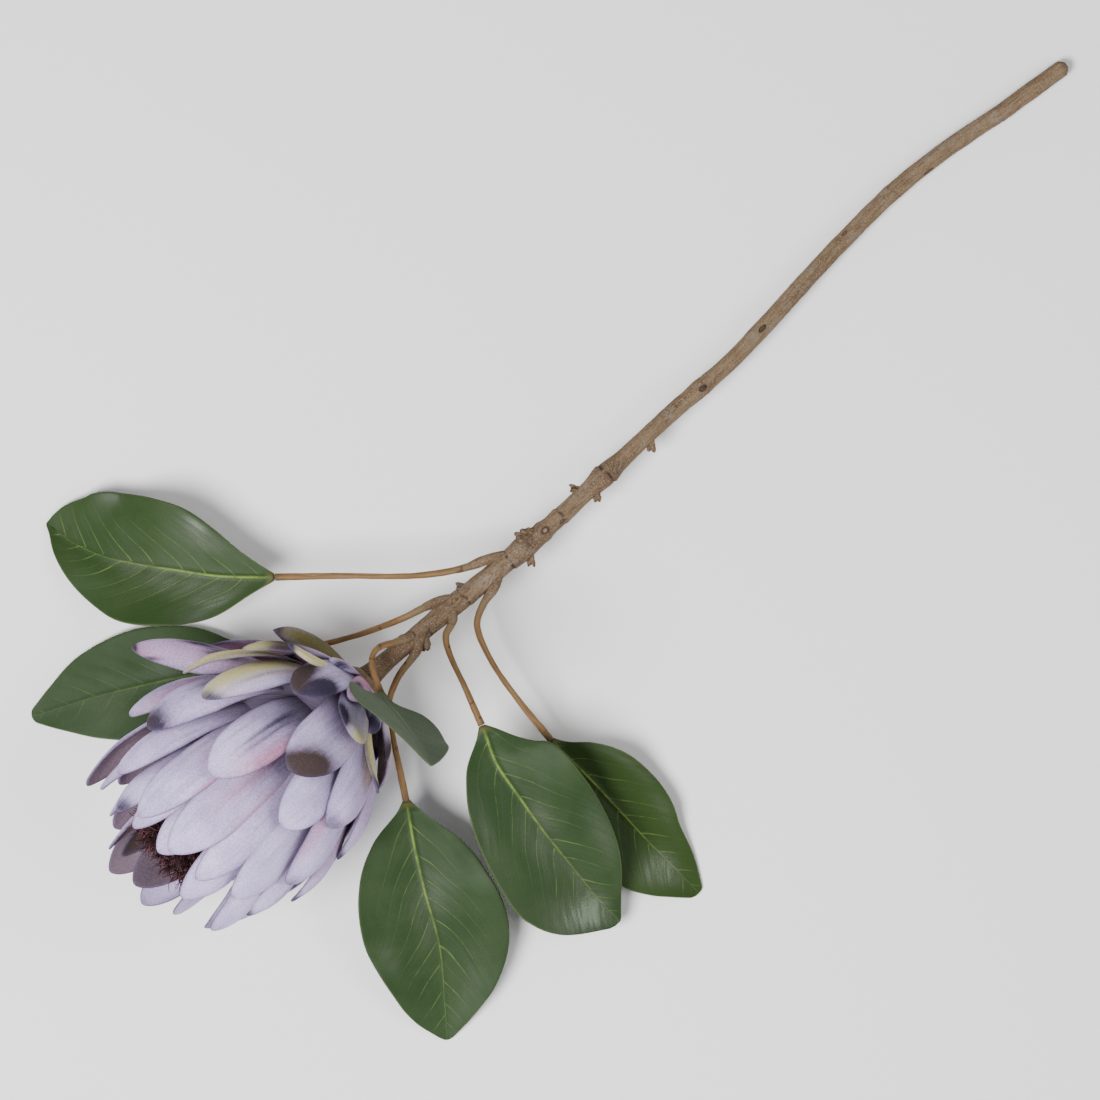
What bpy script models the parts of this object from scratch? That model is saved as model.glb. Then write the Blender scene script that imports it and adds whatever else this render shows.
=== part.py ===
"""A cut protea stem with one bloom and six leaves, lying on its side. Metres, +Z up.

+X runs along the stem to its cut end, and the bloom points to -X with its tip a little raised.
"""

import math
import random

import bmesh
import bpy
from mathutils import Vector

MM = 0.001

# The origin lies on the table under the middle of the whole object, this far from the knot
MIDDLE = Vector((0.3, -13.7, 0.0)) * MM

# Bloom: where its base stands, how far its tip is raised, and its core
BLOOM_BASE = Vector((-171.4, 0.0, 49.0)) * MM
BLOOM_TILT = math.radians(12.0)
CORE_PROFILE = ((6.3, 13.5), (14.0, 21.0), (30.0, 31.0), (55.0, 38.0), (80.0, 39.5), (100.0, 36.0))
CUP_PROFILE = ((-3.7, 8.0), (-1.0, 11.0), (2.5, 13.0), (6.0, 12.5))
CORE_SIDES = 20

# A bract: its rows, where it is widest, how blunt its tip is, how much it leans and cups, and how
# soon after its root it does
BRACT_THICKNESS = 1.2 * MM
BRACT_STATIONS = (0.0, 0.4, 0.63, 0.8, 0.93, 1.0)
BRACT_WIDEST_AT = 0.68
BRACT_TIP_ROUNDNESS = 2.4
BRACT_TIP_SHARE = 0.06
BRACT_LEAN = (0.6, 1.2)
BRACT_CUP = (3.4, 4.6)
BRACT_GROWTH = 1.5
BRACT_LEAST_REACH = 12.0
PRESSED_DOWN = 1.8
SOFT_LANDING = 0.4

# Rings of bracts, from the lowest to the innermost. Each middle line is a curve from its root over
# its bend to its tip, as (distance along the bloom, distance from its axis) in millimetres. The
# angles go round the bloom: 0 is up, and 90 is towards -Y. waist is the width at the foot as a
# share of the widest, and skew draws the tips on the upper side back and those below forward. own
# holds what differs on single bracts, by their angle: twist turns one about its middle line, in
# degrees, and swing carries its tip sideways, in millimetres.
BASAL_RINGS = (
    dict(
        angles=(-76, -58, -34, 4, 39, 75, 120, 165, 212, 250),
        root=(0.0, 4.0), bend=(1.0, 27.0), tip=(19.0, 45.0), width=15.0, waist=0.32, skew=0.0,
        own={
            -76: dict(tip=(21.0, 59.0), twist=-62.0), -34: dict(tip=(13.0, 36.0)),
            -58: dict(bend=(6.0, 28.0), tip=(22.0, 53.0), width=10.0, twist=-40.0),
            39: dict(tip=(22.0, 41.0)), 75: dict(tip=(22.0, 51.0)), 165: dict(tip=(16.0, 38.0)),
        },
    ),
    dict(
        angles=(-63, -25, 21, 62, 102, 141, 180, 215, 250),
        root=(2.0, 5.0), bend=(8.0, 46.0), tip=(38.0, 61.0), width=21.0, waist=0.28, skew=0.0,
        own={
            -63: dict(tip=(45.0, 67.0)), -25: dict(tip=(43.0, 60.0), width=25.0),
            62: dict(tip=(34.0, 62.0)), 141: dict(tip=(31.0, 57.0)), 180: dict(tip=(28.0, 51.0)),
            215: dict(tip=(31.0, 57.0)), 250: dict(tip=(53.0, 79.0), twist=15.0),
        },
    ),
)
PETAL_RINGS = (
    dict(
        angles=(-88, -70, -49, 14, 47, 84, 118, 150, 180, 212, 244),
        root=(13.0, 8.0), bend=(25.0, 60.0), tip=(76.0, 67.0), width=33.0, waist=0.2, skew=0.0,
        own={
            -88: dict(bend=(44.0, 58.0), tip=(85.0, 101.0), width=24.0, twist=-55.0),
            -70: dict(bend=(26.0, 64.0), tip=(77.0, 75.0), width=15.0),
            -49: dict(tip=(80.0, 68.0)), 14: dict(tip=(73.0, 64.0), width=36.0, swing=-7.0),
            180: dict(resting=True),
        },
    ),
    dict(
        angles=(-92, -63, -14, 28, 57, 85, 118, 150, 181, 211, 240),
        root=(25.0, 12.0), bend=(53.0, 69.0), tip=(111.0, 67.0), width=32.0, waist=0.4, skew=0.0,
        own={
            28: dict(tip=(97.0, 66.0)), -14: dict(tip=(109.0, 66.0), width=33.0),
            -92: dict(tip=(108.0, 72.0), twist=-30.0),
        },
    ),
    dict(
        angles=(-88, -57, -26, 2, 23, 46, 74, 102, 130, 158, 186, 214, 242),
        root=(37.0, 14.0), bend=(82.0, 69.0), tip=(149.0, 58.0), width=31.0, waist=0.45, skew=0.0,
        own={
            -88: dict(tip=(154.0, 60.0), twist=22.0), -57: dict(tip=(141.0, 62.0)),
            -26: dict(tip=(150.0, 57.0)), 2: dict(tip=(150.0, 58.0), width=34.0),
            23: dict(tip=(149.0, 57.0), width=25.0), 46: dict(tip=(140.0, 61.0)),
            74: dict(tip=(140.0, 61.0)), 102: dict(tip=(141.0, 60.0), twist=20.0),
            130: dict(tip=(140.0, 58.0), twist=50.0), 242: dict(tip=(134.0, 56.0)),
        },
    ),
    dict(
        angles=(-77, -47, -26, -4, 29, 62, 90, 118, 146, 175, 194, 214, 236),
        root=(47.0, 14.0), bend=(100.0, 61.0), tip=(159.5, 52.0), width=28.0, waist=0.2, skew=6.0,
        own={
            -77: dict(tip=(150.0, 54.0)), -47: dict(tip=(160.0, 52.0), width=24.0),
            -26: dict(width=24.0), 29: dict(tip=(165.0, 52.0)), 62: dict(tip=(161.0, 57.0)),
            90: dict(tip=(146.0, 56.0)), 118: dict(tip=(148.0, 54.0), twist=52.0),
            146: dict(tip=(150.0, 50.0), twist=72.0), 175: dict(bend=(98.0, 56.0), tip=(156.0, 48.0)),
            194: dict(bend=(100.0, 64.0), tip=(160.0, 56.0), width=30.0),
            214: dict(tip=(156.0, 44.0), width=24.0, twist=-50.0),
            236: dict(tip=(147.0, 45.0), width=22.0, twist=-42.0),
        },
    ),
)

# Florets: a dome of bristles on the core
FLORET_BASE = 100.3
FLORET_RADIUS = 30.0
FLORET_HEIGHT = 38.0
FLORET_LENGTH = 19.0
FLORET_BARREL = 0.6
FLORET_SPREAD = 0.15
FLORET_SIDES = 28
FLORET_RINGS = 9

# Stem: its axis from the cut end to the bloom, in millimetres from the knot. It lies on the table
# at its cut end, whose edge is rounded, rises ever faster to the bloom, and flares out below it.
STEM_RADIUS = 4.7
STEM_SIDES = 10
STEM_ROWS = 50
STEM_END = 346.4
STEM_CLEARANCE = 0.1
STEM_RISE_POWER = 2.2
STEM_FLARE = 3.0
STEM_FLARE_LENGTH = 26.0
STEM_END_ROUNDING = 2.2
STEM_END_LENGTH = 4.0
STEM_PLAN = (
    (346.4, 0.6), (305.5, 4.2), (266.2, 9.0), (231.9, 11.0), (185.9, 8.5), (140.9, 3.7),
    (99.7, -0.4), (51.0, -0.5), (4.9, -2.0), (-39.2, -3.0), (-83.5, -2.0), (-124.9, -0.6),
)
# Knots and swellings: place along X, extra radius, spread
STEM_SWELLINGS = (
    (76.0, 0.5, 7.0), (4.0, 1.5, 9.0), (-42.0, 0.8, 3.0), (-55.0, 1.5, 9.0), (-100.0, 1.0, 50.0),
)

# Bud stubs and scars: place along X, angle round the stem from up towards -Y, length, radius
BUD_STUBS = (
    (38.0, 95, 6.0, 3.0), (-9.5, -75, 5.5, 2.6), (-3.0, 85, 6.0, 3.0), (-53.5, -60, 5.5, 2.6),
    (-57.0, 90, 6.5, 2.8), (-60.5, -25, 5.0, 2.4), (-92.0, -80, 5.5, 2.2), (-127.0, 80, 6.0, 2.4),
    (150.0, 40, 3.5, 2.4), (228.0, -70, 3.5, 2.4),
)
# A bud's shape as (share of its reach, share of its radius), and how it leans out and forward
BUD_PROFILE = ((0.1, 1.1), (0.55, 1.0), (0.8, 0.85), (0.93, 0.6), (1.0, 0.25))
BUD_LEAN = (0.8, 0.6)

# Leaf stalks and leaves, in millimetres from the knot
PETIOLE_RADIUS = 1.8
PETIOLE_SIDES = 6
PETIOLE_ROWS = 18
SOCKET_ROWS = 3
SOCKET_SWELLING = (1.4, 1.6, 1.6, 1.25)
SOCKET_SIDES = 7
COLLAR_LENGTH = 5.0
GAP = 0.3
COLLAR_GAP = 0.6
PETIOLES = {
    1: (
        (-66, 1, 33), (-75, 5.5, 35), (-89, 11, 36.5), (-110.5, 24.6, 37.5), (-142, 52, 35.5),
        (-169.6, 75.3, 31),
    ),
    2: ((-102, 1, 39), (-111, 6, 37), (-135, 13, 30), (-158, 22, 21), (-178, 32, 13), (-203, 46, 8)),
    3: (
        (-128, -1, 43), (-139, -7, 46), (-155, -11, 50), (-168, -18.5, 51), (-178, -33, 48),
        (-189, -52, 40), (-196.3, -64.6, 33),
    ),
    4: (
        (-106, 0, 39.5), (-112.5, -7.5, 43), (-120, -11, 44.5), (-124.6, -18.8, 45), (-131, -40, 44),
        (-137.6, -60.8, 42),
    ),
    5: (
        (-74, -4, 34.5), (-83, -8.5, 36.5), (-93, -11.5, 37.5), (-103, -17.5, 37), (-110, -35.8, 34),
        (-113.5, -63.7, 29), (-114.5, -92, 24),
    ),
    6: (
        (-134, 1, 46), (-144, 5, 52), (-151.5, 8.4, 58), (-158, 6.6, 64), (-163, -1, 70),
        (-166.5, -10, 76),
    ),
}
# route is a leaf's midrib beyond its collar, and face the way its upper side looks. left and right
# hold half widths as (share of the way to the tip, millimetres). fold is the rise of each half in
# degrees, and wave the height of its edge's ripple.
LEAVES = {
    1: dict(
        route=(
            (-192.6, 96.1, 28), (-209.7, 115.8, 23), (-222.2, 130.5, 17.5), (-235, 148.3, 10.5),
            (-243.2, 167.8, 4), (-246, 182, 1),
        ),
        left=((0.1, 10.5), (0.25, 25), (0.42, 32), (0.6, 33), (0.75, 24), (0.88, 13), (0.96, 4), (1, 1)),
        right=((0.1, 11), (0.25, 25), (0.45, 37), (0.75, 36.5), (0.88, 29.5), (0.96, 20), (1, 8)),
        face=(0, 0, 1), fold=10, wave=3.0, waves=2.3, phase=0.4,
    ),
    2: dict(
        route=((-222, 55, 6), (-240, 65, 5), (-256, 74, 4.2), (-289, 91.4, 3), (-323, 106.5, 1)),
        left=((0.1, 12), (0.25, 24), (0.4, 29), (0.55, 30), (0.75, 23), (0.9, 12), (1, 3)),
        right=((0.1, 13), (0.25, 25), (0.4, 30), (0.55, 31), (0.75, 24), (0.9, 12), (1, 3)),
        face=(0, 0, 1), fold=3, wave=1.0, waves=2.0, phase=1.3,
    ),
    3: dict(
        route=(
            (-208, -84, 31), (-220.6, -106.8, 27), (-236.2, -138, 17.5), (-255, -163.6, 6.5),
            (-267.8, -180, 1),
        ),
        left=(
            (0.08, 11), (0.18, 25), (0.3, 34.5), (0.47, 40.5), (0.62, 39), (0.78, 28.5), (0.9, 15.5),
            (1, 2),
        ),
        right=(
            (0.05, 7.5), (0.15, 23), (0.27, 34), (0.45, 40.5), (0.63, 38.5), (0.8, 27.5), (0.92, 16.5),
            (1, 2),
        ),
        face=(0, 0, 1), fold=9, wave=3.0, waves=2.2, phase=2.0,
    ),
    4: dict(
        route=(
            (-145.3, -81.9, 43), (-148, -103.7, 41), (-150.4, -126.7, 36.5), (-151.6, -151, 30),
            (-152.6, -175.4, 21), (-152.2, -193.4, 12),
        ),
        left=(
            (0.05, 10.5), (0.13, 24), (0.22, 33), (0.38, 36), (0.55, 34.5), (0.7, 28.5), (0.84, 18),
            (1, 1),
        ),
        right=(
            (0.07, 8.5), (0.15, 18), (0.25, 28), (0.4, 34.5), (0.62, 40), (0.73, 38.5), (0.86, 29),
            (1, 5),
        ),
        face=(0, 0, 1), fold=9, wave=2.6, waves=2.2, phase=3.6,
    ),
    5: dict(
        route=(
            (-112.8, -120, 20), (-111.8, -150.8, 12.5), (-111.3, -170.4, 7), (-110.4, -183.7, 4),
            (-109, -210.8, 1),
        ),
        left=(
            (0.07, 7.5), (0.15, 16), (0.28, 24.5), (0.45, 27.3), (0.58, 25), (0.72, 18.5), (0.86, 12.5),
            (1, 3),
        ),
        right=((0.1, 12), (0.2, 20), (0.35, 27), (0.55, 30), (0.73, 27.8), (0.84, 21.2), (0.93, 12), (1, 4)),
        face=(0.1, 0, 1), fold=8, wave=2.0, waves=2.2, phase=5.0,
    ),
    6: dict(
        route=((-167.8, -27, 101), (-168, -39, 129), (-168.5, -49, 152), (-170, -58, 173)),
        left=((0.1, 15), (0.25, 31), (0.45, 42), (0.6, 42), (0.75, 33), (0.9, 16), (1, 2)),
        right=((0.1, 8), (0.25, 16), (0.45, 20.5), (0.6, 20), (0.75, 15.5), (0.9, 8), (1, 1)),
        face=(-0.91, -0.39, -0.15), fold=-14, wave=1.6, waves=1.8, phase=0.9,
    ),
}
LEAF_THICKNESS = 0.8
LEAF_RIB = 1.5
LEAF_FOOT = 1.15 * PETIOLE_RADIUS
LEAF_TIP_WIDTH = 1.2
LEAF_LOWEST = 0.3
LEAF_STATIONS = (0.0, 0.045, 0.1, 0.18, 0.28, 0.39, 0.5, 0.61, 0.72, 0.82, 0.9, 0.96, 1.0)
LEAF_COLUMNS = 6

COLOURS = {
    "stem": (0.235, 0.165, 0.102, 1.0),
    "petiole": (0.38, 0.21, 0.085, 1.0),
    "leaf": (0.045, 0.093, 0.032, 1.0),
    "basal_bracts": (0.55, 0.43, 0.27, 1.0),
    "petal_bracts": (0.60, 0.57, 0.68, 1.0),
    "florets": (0.055, 0.022, 0.020, 1.0),
}


def clear_scene():
    for obj in list(bpy.data.objects):
        bpy.data.objects.remove(obj, do_unlink=True)


def material(name, roughness):
    made = bpy.data.materials.new(name)
    made.use_nodes = True
    shader = made.node_tree.nodes["Principled BSDF"]
    shader.inputs["Base Color"].default_value = COLOURS[name]
    shader.inputs["Roughness"].default_value = roughness
    shader.inputs["Metallic"].default_value = 0.0
    made.diffuse_color = COLOURS[name]
    return made


def finished(name, bm, look):
    """A mesh object from bm, with its faces turned out."""
    bmesh.ops.recalc_face_normals(bm, faces=bm.faces[:])
    mesh = bpy.data.meshes.new(name)
    bm.to_mesh(mesh)
    bm.free()
    mesh.materials.append(look)
    mesh.shade_smooth()
    mesh.set_sharp_from_angle(angle=math.radians(40))
    obj = bpy.data.objects.new(name, mesh)
    bpy.context.scene.collection.objects.link(obj)
    return obj


def fused(name, pieces, look, solver="EXACT"):
    """One solid from overlapping pieces, by one Boolean union on their collection."""
    group = bpy.data.collections.new(name + "_pieces")
    bpy.context.scene.collection.children.link(group)
    whole = pieces[0]
    for piece in pieces[1:]:
        bpy.context.scene.collection.objects.unlink(piece)
        group.objects.link(piece)
    union = whole.modifiers.new("union", "BOOLEAN")
    union.operation = "UNION"
    union.operand_type = "COLLECTION"
    union.collection = group
    union.solver = solver
    graph = bpy.context.evaluated_depsgraph_get()
    mesh = bpy.data.meshes.new_from_object(whole.evaluated_get(graph))
    for piece in list(group.objects) + [whole]:
        bpy.data.objects.remove(piece, do_unlink=True)
    bpy.data.collections.remove(group)
    mesh.name = name
    mesh.materials.clear()
    mesh.materials.append(look)
    mesh.shade_smooth()
    mesh.set_sharp_from_angle(angle=math.radians(40))
    obj = bpy.data.objects.new(name, mesh)
    bpy.context.scene.collection.objects.link(obj)
    return obj


def smooth_curve(points, count):
    """count + 1 places spaced evenly along a centripetal Catmull-Rom curve through the points."""
    ends = [points[0] * 2 - points[1]] + list(points) + [points[-1] * 2 - points[-2]]
    fine = []
    steps = 24
    for i in range(len(points) - 1):
        a, b, c, d = ends[i:i + 4]
        ta = 0.0
        tb = ta + math.sqrt((b - a).length)
        tc = tb + math.sqrt((c - b).length)
        td = tc + math.sqrt((d - c).length)
        for k in range(steps):
            t = tb + (tc - tb) * k / steps
            ab = a.lerp(b, (t - ta) / (tb - ta))
            bc = b.lerp(c, (t - tb) / (tc - tb))
            cd = c.lerp(d, (t - tc) / (td - tc))
            abc = ab.lerp(bc, (t - ta) / (tc - ta))
            bcd = bc.lerp(cd, (t - tb) / (td - tb))
            fine.append(abc.lerp(bcd, (t - tb) / (tc - tb)))
    fine.append(points[-1].copy())
    lengths = [0.0]
    for a, b in zip(fine, fine[1:]):
        lengths.append(lengths[-1] + (b - a).length)
    places = []
    j = 0
    for i in range(count + 1):
        wanted = lengths[-1] * i / count
        while j < len(fine) - 2 and lengths[j + 1] < wanted:
            j += 1
        share = (wanted - lengths[j]) / max(lengths[j + 1] - lengths[j], 1e-12)
        places.append(fine[j].lerp(fine[j + 1], min(share, 1.0)))
    return places


def tangents(places):
    found = []
    for i in range(len(places)):
        ahead = places[min(i + 1, len(places) - 1)]
        behind = places[max(i - 1, 0)]
        found.append((ahead - behind).normalized())
    return found


def tube(bm, places, radii, sides, headings=None):
    """A closed round tube along the places, with flat ends square to the headings."""
    rings = []
    side = Vector((0, 0, 1))
    for place, along, radius in zip(places, headings or tangents(places), radii):
        side = (side - along * side.dot(along)).normalized()
        across = along.cross(side)
        ring = []
        for k in range(sides):
            angle = 2 * math.pi * k / sides
            ring.append(bm.verts.new(place + radius * (math.cos(angle) * side + math.sin(angle) * across)))
        rings.append(ring)
    for lower, upper in zip(rings, rings[1:]):
        for k in range(sides):
            n = (k + 1) % sides
            bm.faces.new((lower[k], lower[n], upper[n], upper[k]))
    for ring in (rings[0], rings[-1]):
        centre = bm.verts.new(sum((v.co for v in ring), Vector()) / sides)
        for k in range(sides):
            bm.faces.new((ring[k], ring[(k + 1) % sides], centre))


def blade(bm, surface, thickness, stations, columns, foot_normal=None):
    """A closed sheet: surface(s, t) is its middle, thickness(s, t) half of it to each face.

    Both faces are split into triangles alike. foot_normal keeps the first row square to a stalk.
    """
    step = 1e-3
    rows = len(stations) - 1
    outer, inner = [], []
    for i, s in enumerate(stations):
        outer_row, inner_row = [], []
        for j in range(columns + 1):
            t = 2 * j / columns - 1
            along = surface(min(s + step, 1.0), t) - surface(max(s - step, 0.0), t)
            across = surface(s, min(t + step, 1.0)) - surface(s, max(t - step, -1.0))
            normal = along.cross(across).normalized()
            if foot_normal and i == 0:
                normal = foot_normal
            half = thickness(s, t) * normal
            outer_row.append(bm.verts.new(surface(s, t) + half))
            inner_row.append(bm.verts.new(surface(s, t) - half))
        outer.append(outer_row)
        inner.append(inner_row)
    for i in range(rows):
        for j in range(columns):
            for grid in (outer, inner):
                a, b = grid[i][j], grid[i][j + 1]
                c, d = grid[i + 1][j + 1], grid[i + 1][j]
                if (i + j) % 2:
                    bm.faces.new((a, b, c))
                    bm.faces.new((a, c, d))
                else:
                    bm.faces.new((a, b, d))
                    bm.faces.new((b, c, d))
    rim = [(0, j) for j in range(columns)] + [(i, columns) for i in range(rows)]
    rim += [(rows, j) for j in range(columns, 0, -1)] + [(i, 0) for i in range(rows, 0, -1)]
    for (i, j), (k, n) in zip(rim, rim[1:] + rim[:1]):
        bm.faces.new((outer[i][j], outer[k][n], inner[k][n]))
        bm.faces.new((outer[i][j], inner[k][n], inner[i][j]))


def from_knot(x, y, z):
    """A place given in millimetres from the knot, as one in the part's frame."""
    return Vector((x, y, z)) * MM - MIDDLE


BLOOM_ALONG = Vector((-math.cos(BLOOM_TILT), 0, math.sin(BLOOM_TILT)))
BLOOM_UP = Vector((math.sin(BLOOM_TILT), 0, math.cos(BLOOM_TILT)))
BLOOM_SIDE = Vector((0, -1, 0))


def in_bloom(along, radius, angle):
    """A place on the bloom: millimetres along it and from its axis, and degrees round it."""
    turned = math.radians(angle)
    outward = math.cos(turned) * BLOOM_UP + math.sin(turned) * BLOOM_SIDE
    return BLOOM_BASE - MIDDLE + (along * BLOOM_ALONG + radius * outward) * MM


def turned_body(bm, profile, sides):
    """A closed solid of revolution about the bloom's axis."""
    rings = []
    for along, radius in profile:
        rings.append([bm.verts.new(in_bloom(along, radius, 360 * k / sides)) for k in range(sides)])
    for lower, upper in zip(rings, rings[1:]):
        for k in range(sides):
            n = (k + 1) % sides
            bm.faces.new((lower[k], lower[n], upper[n], upper[k]))
    for ring, along in ((rings[0], profile[0][0]), (rings[-1], profile[-1][0])):
        centre = bm.verts.new(in_bloom(along, 0, 0))
        for k in range(sides):
            bm.faces.new((ring[k], ring[(k + 1) % sides], centre))


def bract_outline(s, waist):
    """Half of a bract's width at s along it, as a share of its widest: narrow foot, round tip."""
    foot = waist + (1 - waist) * math.sin(min(s / BRACT_WIDEST_AT, 1.0) * math.pi / 2) ** 1.3
    past = max(s - BRACT_WIDEST_AT, 0.0) / (1 - BRACT_WIDEST_AT)
    return foot * math.sqrt(max(1 - past ** BRACT_TIP_ROUNDNESS, BRACT_TIP_SHARE))


def bract_surface(ring, angle, draw):
    """The middle surface of one bract as a function of (s, t)."""
    shape = {**ring, **ring["own"].get(angle, {})}
    root, bend, tip = shape["root"], shape["bend"], shape["tip"]
    tip_along = tip[0] + draw.uniform(-1.5, 1.5) - ring["skew"] * math.cos(math.radians(angle))
    tip_radius = tip[1] + draw.uniform(-0.8, 0.8)
    turn = angle + draw.uniform(-1.5, 1.5)
    lean = draw.uniform(*BRACT_LEAN)
    cup = draw.uniform(*BRACT_CUP)
    width = shape["width"] * draw.uniform(0.95, 1.05)

    def surface(s, t):
        u = 1 - s
        along = u * u * root[0] + 2 * u * s * bend[0] + s * s * tip_along
        radius = u * u * root[1] + 2 * u * s * bend[1] + s * s * tip_radius
        goes_along = u * (bend[0] - root[0]) + s * (tip_along - bend[0])
        goes_out = u * (bend[1] - root[1]) + s * (tip_radius - bend[1])
        grown = min(1.0, BRACT_GROWTH * s)
        twisted = math.radians(shape.get("twist", 0.0)) * grown
        share = t * bract_outline(s, ring["waist"])
        off = 0.5 * width * share
        lift = off * math.sin(twisted) / math.hypot(goes_along, goes_out)
        swung = off * math.cos(twisted) + shape.get("swing", 0.0) * s * s
        reach = max(radius, BRACT_LEAST_REACH)
        along -= lift * goes_out
        radius += lift * goes_along + (lean * share - cup * share * share) * grown
        place = in_bloom(along, radius, turn + math.degrees(swung / reach))
        return settled(place, shape.get("resting", False))

    return surface


def settled(place, resting):
    """Keeps a bract's middle above the table. The resting one is pressed flat and carries the bloom."""
    lowest = BRACT_THICKNESS / 2 / MM
    height = place.z / MM
    if resting:
        place.z = max(height - PRESSED_DOWN, lowest) * MM
    else:
        lowest += SOFT_LANDING
        place.z = (lowest + math.log1p(math.exp(height - lowest))) * MM
    return place


def bract_ring_pieces(rings, look, draw, columns):
    pieces = []
    for number, ring in enumerate(rings):
        for angle in ring["angles"]:
            bm = bmesh.new()
            surface = bract_surface(ring, angle, draw)
            blade(bm, surface, lambda s, t: BRACT_THICKNESS / 2, BRACT_STATIONS, columns)
            for vert in bm.verts:
                vert.co.z = max(vert.co.z, 0.0)
            pieces.append(finished(f"bract_{number}_{angle}", bm, look))
    return pieces


def make_petal_bracts():
    draw = random.Random(7)
    look = material("petal_bracts", 0.7)
    bm = bmesh.new()
    turned_body(bm, CORE_PROFILE, CORE_SIDES)
    core = finished("core", bm, look)
    return fused("petal_bracts", [core] + bract_ring_pieces(PETAL_RINGS, look, draw, 3), look, "MANIFOLD")


def make_basal_bracts():
    draw = random.Random(11)
    look = material("basal_bracts", 0.7)
    bm = bmesh.new()
    turned_body(bm, CUP_PROFILE, CORE_SIDES)
    cup = finished("cup", bm, look)
    return fused("basal_bracts", [cup] + bract_ring_pieces(BASAL_RINGS, look, draw, 2), look, "MANIFOLD")


def make_florets():
    """A dome whose every other corner is drawn out into a bristle."""
    look = material("florets", 0.85)
    draw = random.Random(3)
    bm = bmesh.new()
    rings = []
    for i in range(FLORET_RINGS + 1):
        rise = math.pi / 2 * i / (FLORET_RINGS + 0.8)
        ring = []
        for k in range(FLORET_SIDES):
            raised = i > 0 and (i + k) % 2 == 0
            length = FLORET_LENGTH * draw.uniform(0.7, 1.0) if raised else 0.0
            radius = FLORET_RADIUS * math.cos(rise) ** FLORET_BARREL
            radius += FLORET_SPREAD * length * math.cos(rise)
            along = FLORET_BASE + FLORET_HEIGHT * math.sin(rise) + (1 - FLORET_SPREAD) * length
            ring.append(bm.verts.new(in_bloom(along, radius, 360 * k / FLORET_SIDES)))
        rings.append(ring)
    for lower, upper in zip(rings, rings[1:]):
        for k in range(FLORET_SIDES):
            n = (k + 1) % FLORET_SIDES
            bm.faces.new((lower[k], lower[n], upper[n]))
            bm.faces.new((lower[k], upper[n], upper[k]))
    top = bm.verts.new(in_bloom(FLORET_BASE + FLORET_HEIGHT, 0, 0))
    foot = bm.verts.new(in_bloom(FLORET_BASE, 0, 0))
    for k in range(FLORET_SIDES):
        n = (k + 1) % FLORET_SIDES
        bm.faces.new((rings[-1][k], rings[-1][n], top))
        bm.faces.new((rings[0][k], rings[0][n], foot))
    return finished("florets", bm, look)


def stem_height(x):
    """Height of the stem's axis in millimetres."""
    lowest = STEM_RADIUS + STEM_CLEARANCE
    share = (STEM_END - x) / (STEM_END - BLOOM_BASE.x / MM)
    return lowest + (BLOOM_BASE.z / MM - lowest) * share ** STEM_RISE_POWER


def stem_points():
    points = [from_knot(x, y, stem_height(x)) for x, y in STEM_PLAN]
    points.append(in_bloom(-22, 0, 0))
    points.append(in_bloom(-4, 0, 0))
    return points


def stem_radius(place):
    x = (place.x + MIDDLE.x) / MM
    radius = STEM_RADIUS
    for centre, extra, spread in STEM_SWELLINGS:
        radius += extra * math.exp(-((x - centre) / spread) ** 2)
    near_bloom = max(0.0, 1 - abs(x - BLOOM_BASE.x / MM) / STEM_FLARE_LENGTH)
    near_end = max(0.0, 1 - (STEM_END - x) / STEM_END_LENGTH)
    return (radius + STEM_FLARE * near_bloom ** 2 - STEM_END_ROUNDING * near_end ** 2) * MM


def petiole_places(number):
    """The leaf stalk's centre line. Its first SOCKET_ROWS rows belong to the socket on the stem."""
    points = [from_knot(*p) for p in PETIOLES[number]]
    return smooth_curve(points, PETIOLE_ROWS)


def make_stem():
    look = material("stem", 0.85)
    bm = bmesh.new()
    places = smooth_curve(stem_points(), STEM_ROWS)
    tube(bm, places, [stem_radius(p) for p in places], STEM_SIDES)
    pieces = [finished("stem_tube", bm, look)]
    pieces += [bud_stub(places, look, *stub) for stub in BUD_STUBS]
    pieces += [petiole_socket(number, look) for number in PETIOLES]
    return fused("stem", pieces, look)


def bud_stub(places, look, x, angle, length, radius):
    """A blunt little bud that leans towards the bloom, rooted in the stem."""
    near = min(places, key=lambda p: abs(p.x + MIDDLE.x - x * MM))
    turned = math.radians(angle)
    outward = Vector((0, -math.sin(turned), math.cos(turned)))
    heading = (outward * BUD_LEAN[0] + Vector((-BUD_LEAN[1], 0, 0))).normalized()
    reach = stem_radius(near) + length * MM
    bm = bmesh.new()
    line = [near + heading * reach * share for share, _ in BUD_PROFILE]
    tube(bm, line, [radius * MM * size for _, size in BUD_PROFILE], SOCKET_SIDES)
    return finished("bud", bm, look)


def petiole_socket(number, look):
    """The swollen foot from which a leaf stalk grows, up to the stalk's own first face."""
    line = petiole_places(number)[:SOCKET_ROWS + 1]
    headings = tangents(petiole_places(number))[:SOCKET_ROWS + 1]
    bm = bmesh.new()
    tube(bm, line, [PETIOLE_RADIUS * MM * size for size in SOCKET_SWELLING], SOCKET_SIDES, headings)
    return finished("socket", bm, look)


def make_petiole(number, look):
    line = petiole_places(number)
    headings = tangents(line)[SOCKET_ROWS:]
    places = [line[SOCKET_ROWS] + headings[0] * GAP * MM] + line[SOCKET_ROWS + 1:]
    count = len(places) - 1
    radii = []
    for i in range(len(places)):
        share = i / count
        radii.append(PETIOLE_RADIUS * MM * (1.0 + 0.12 * math.cos(2 * math.pi * share)))
    bm = bmesh.new()
    tube(bm, places, radii, PETIOLE_SIDES, headings)
    return finished(f"petiole_{number}", bm, look)


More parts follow.
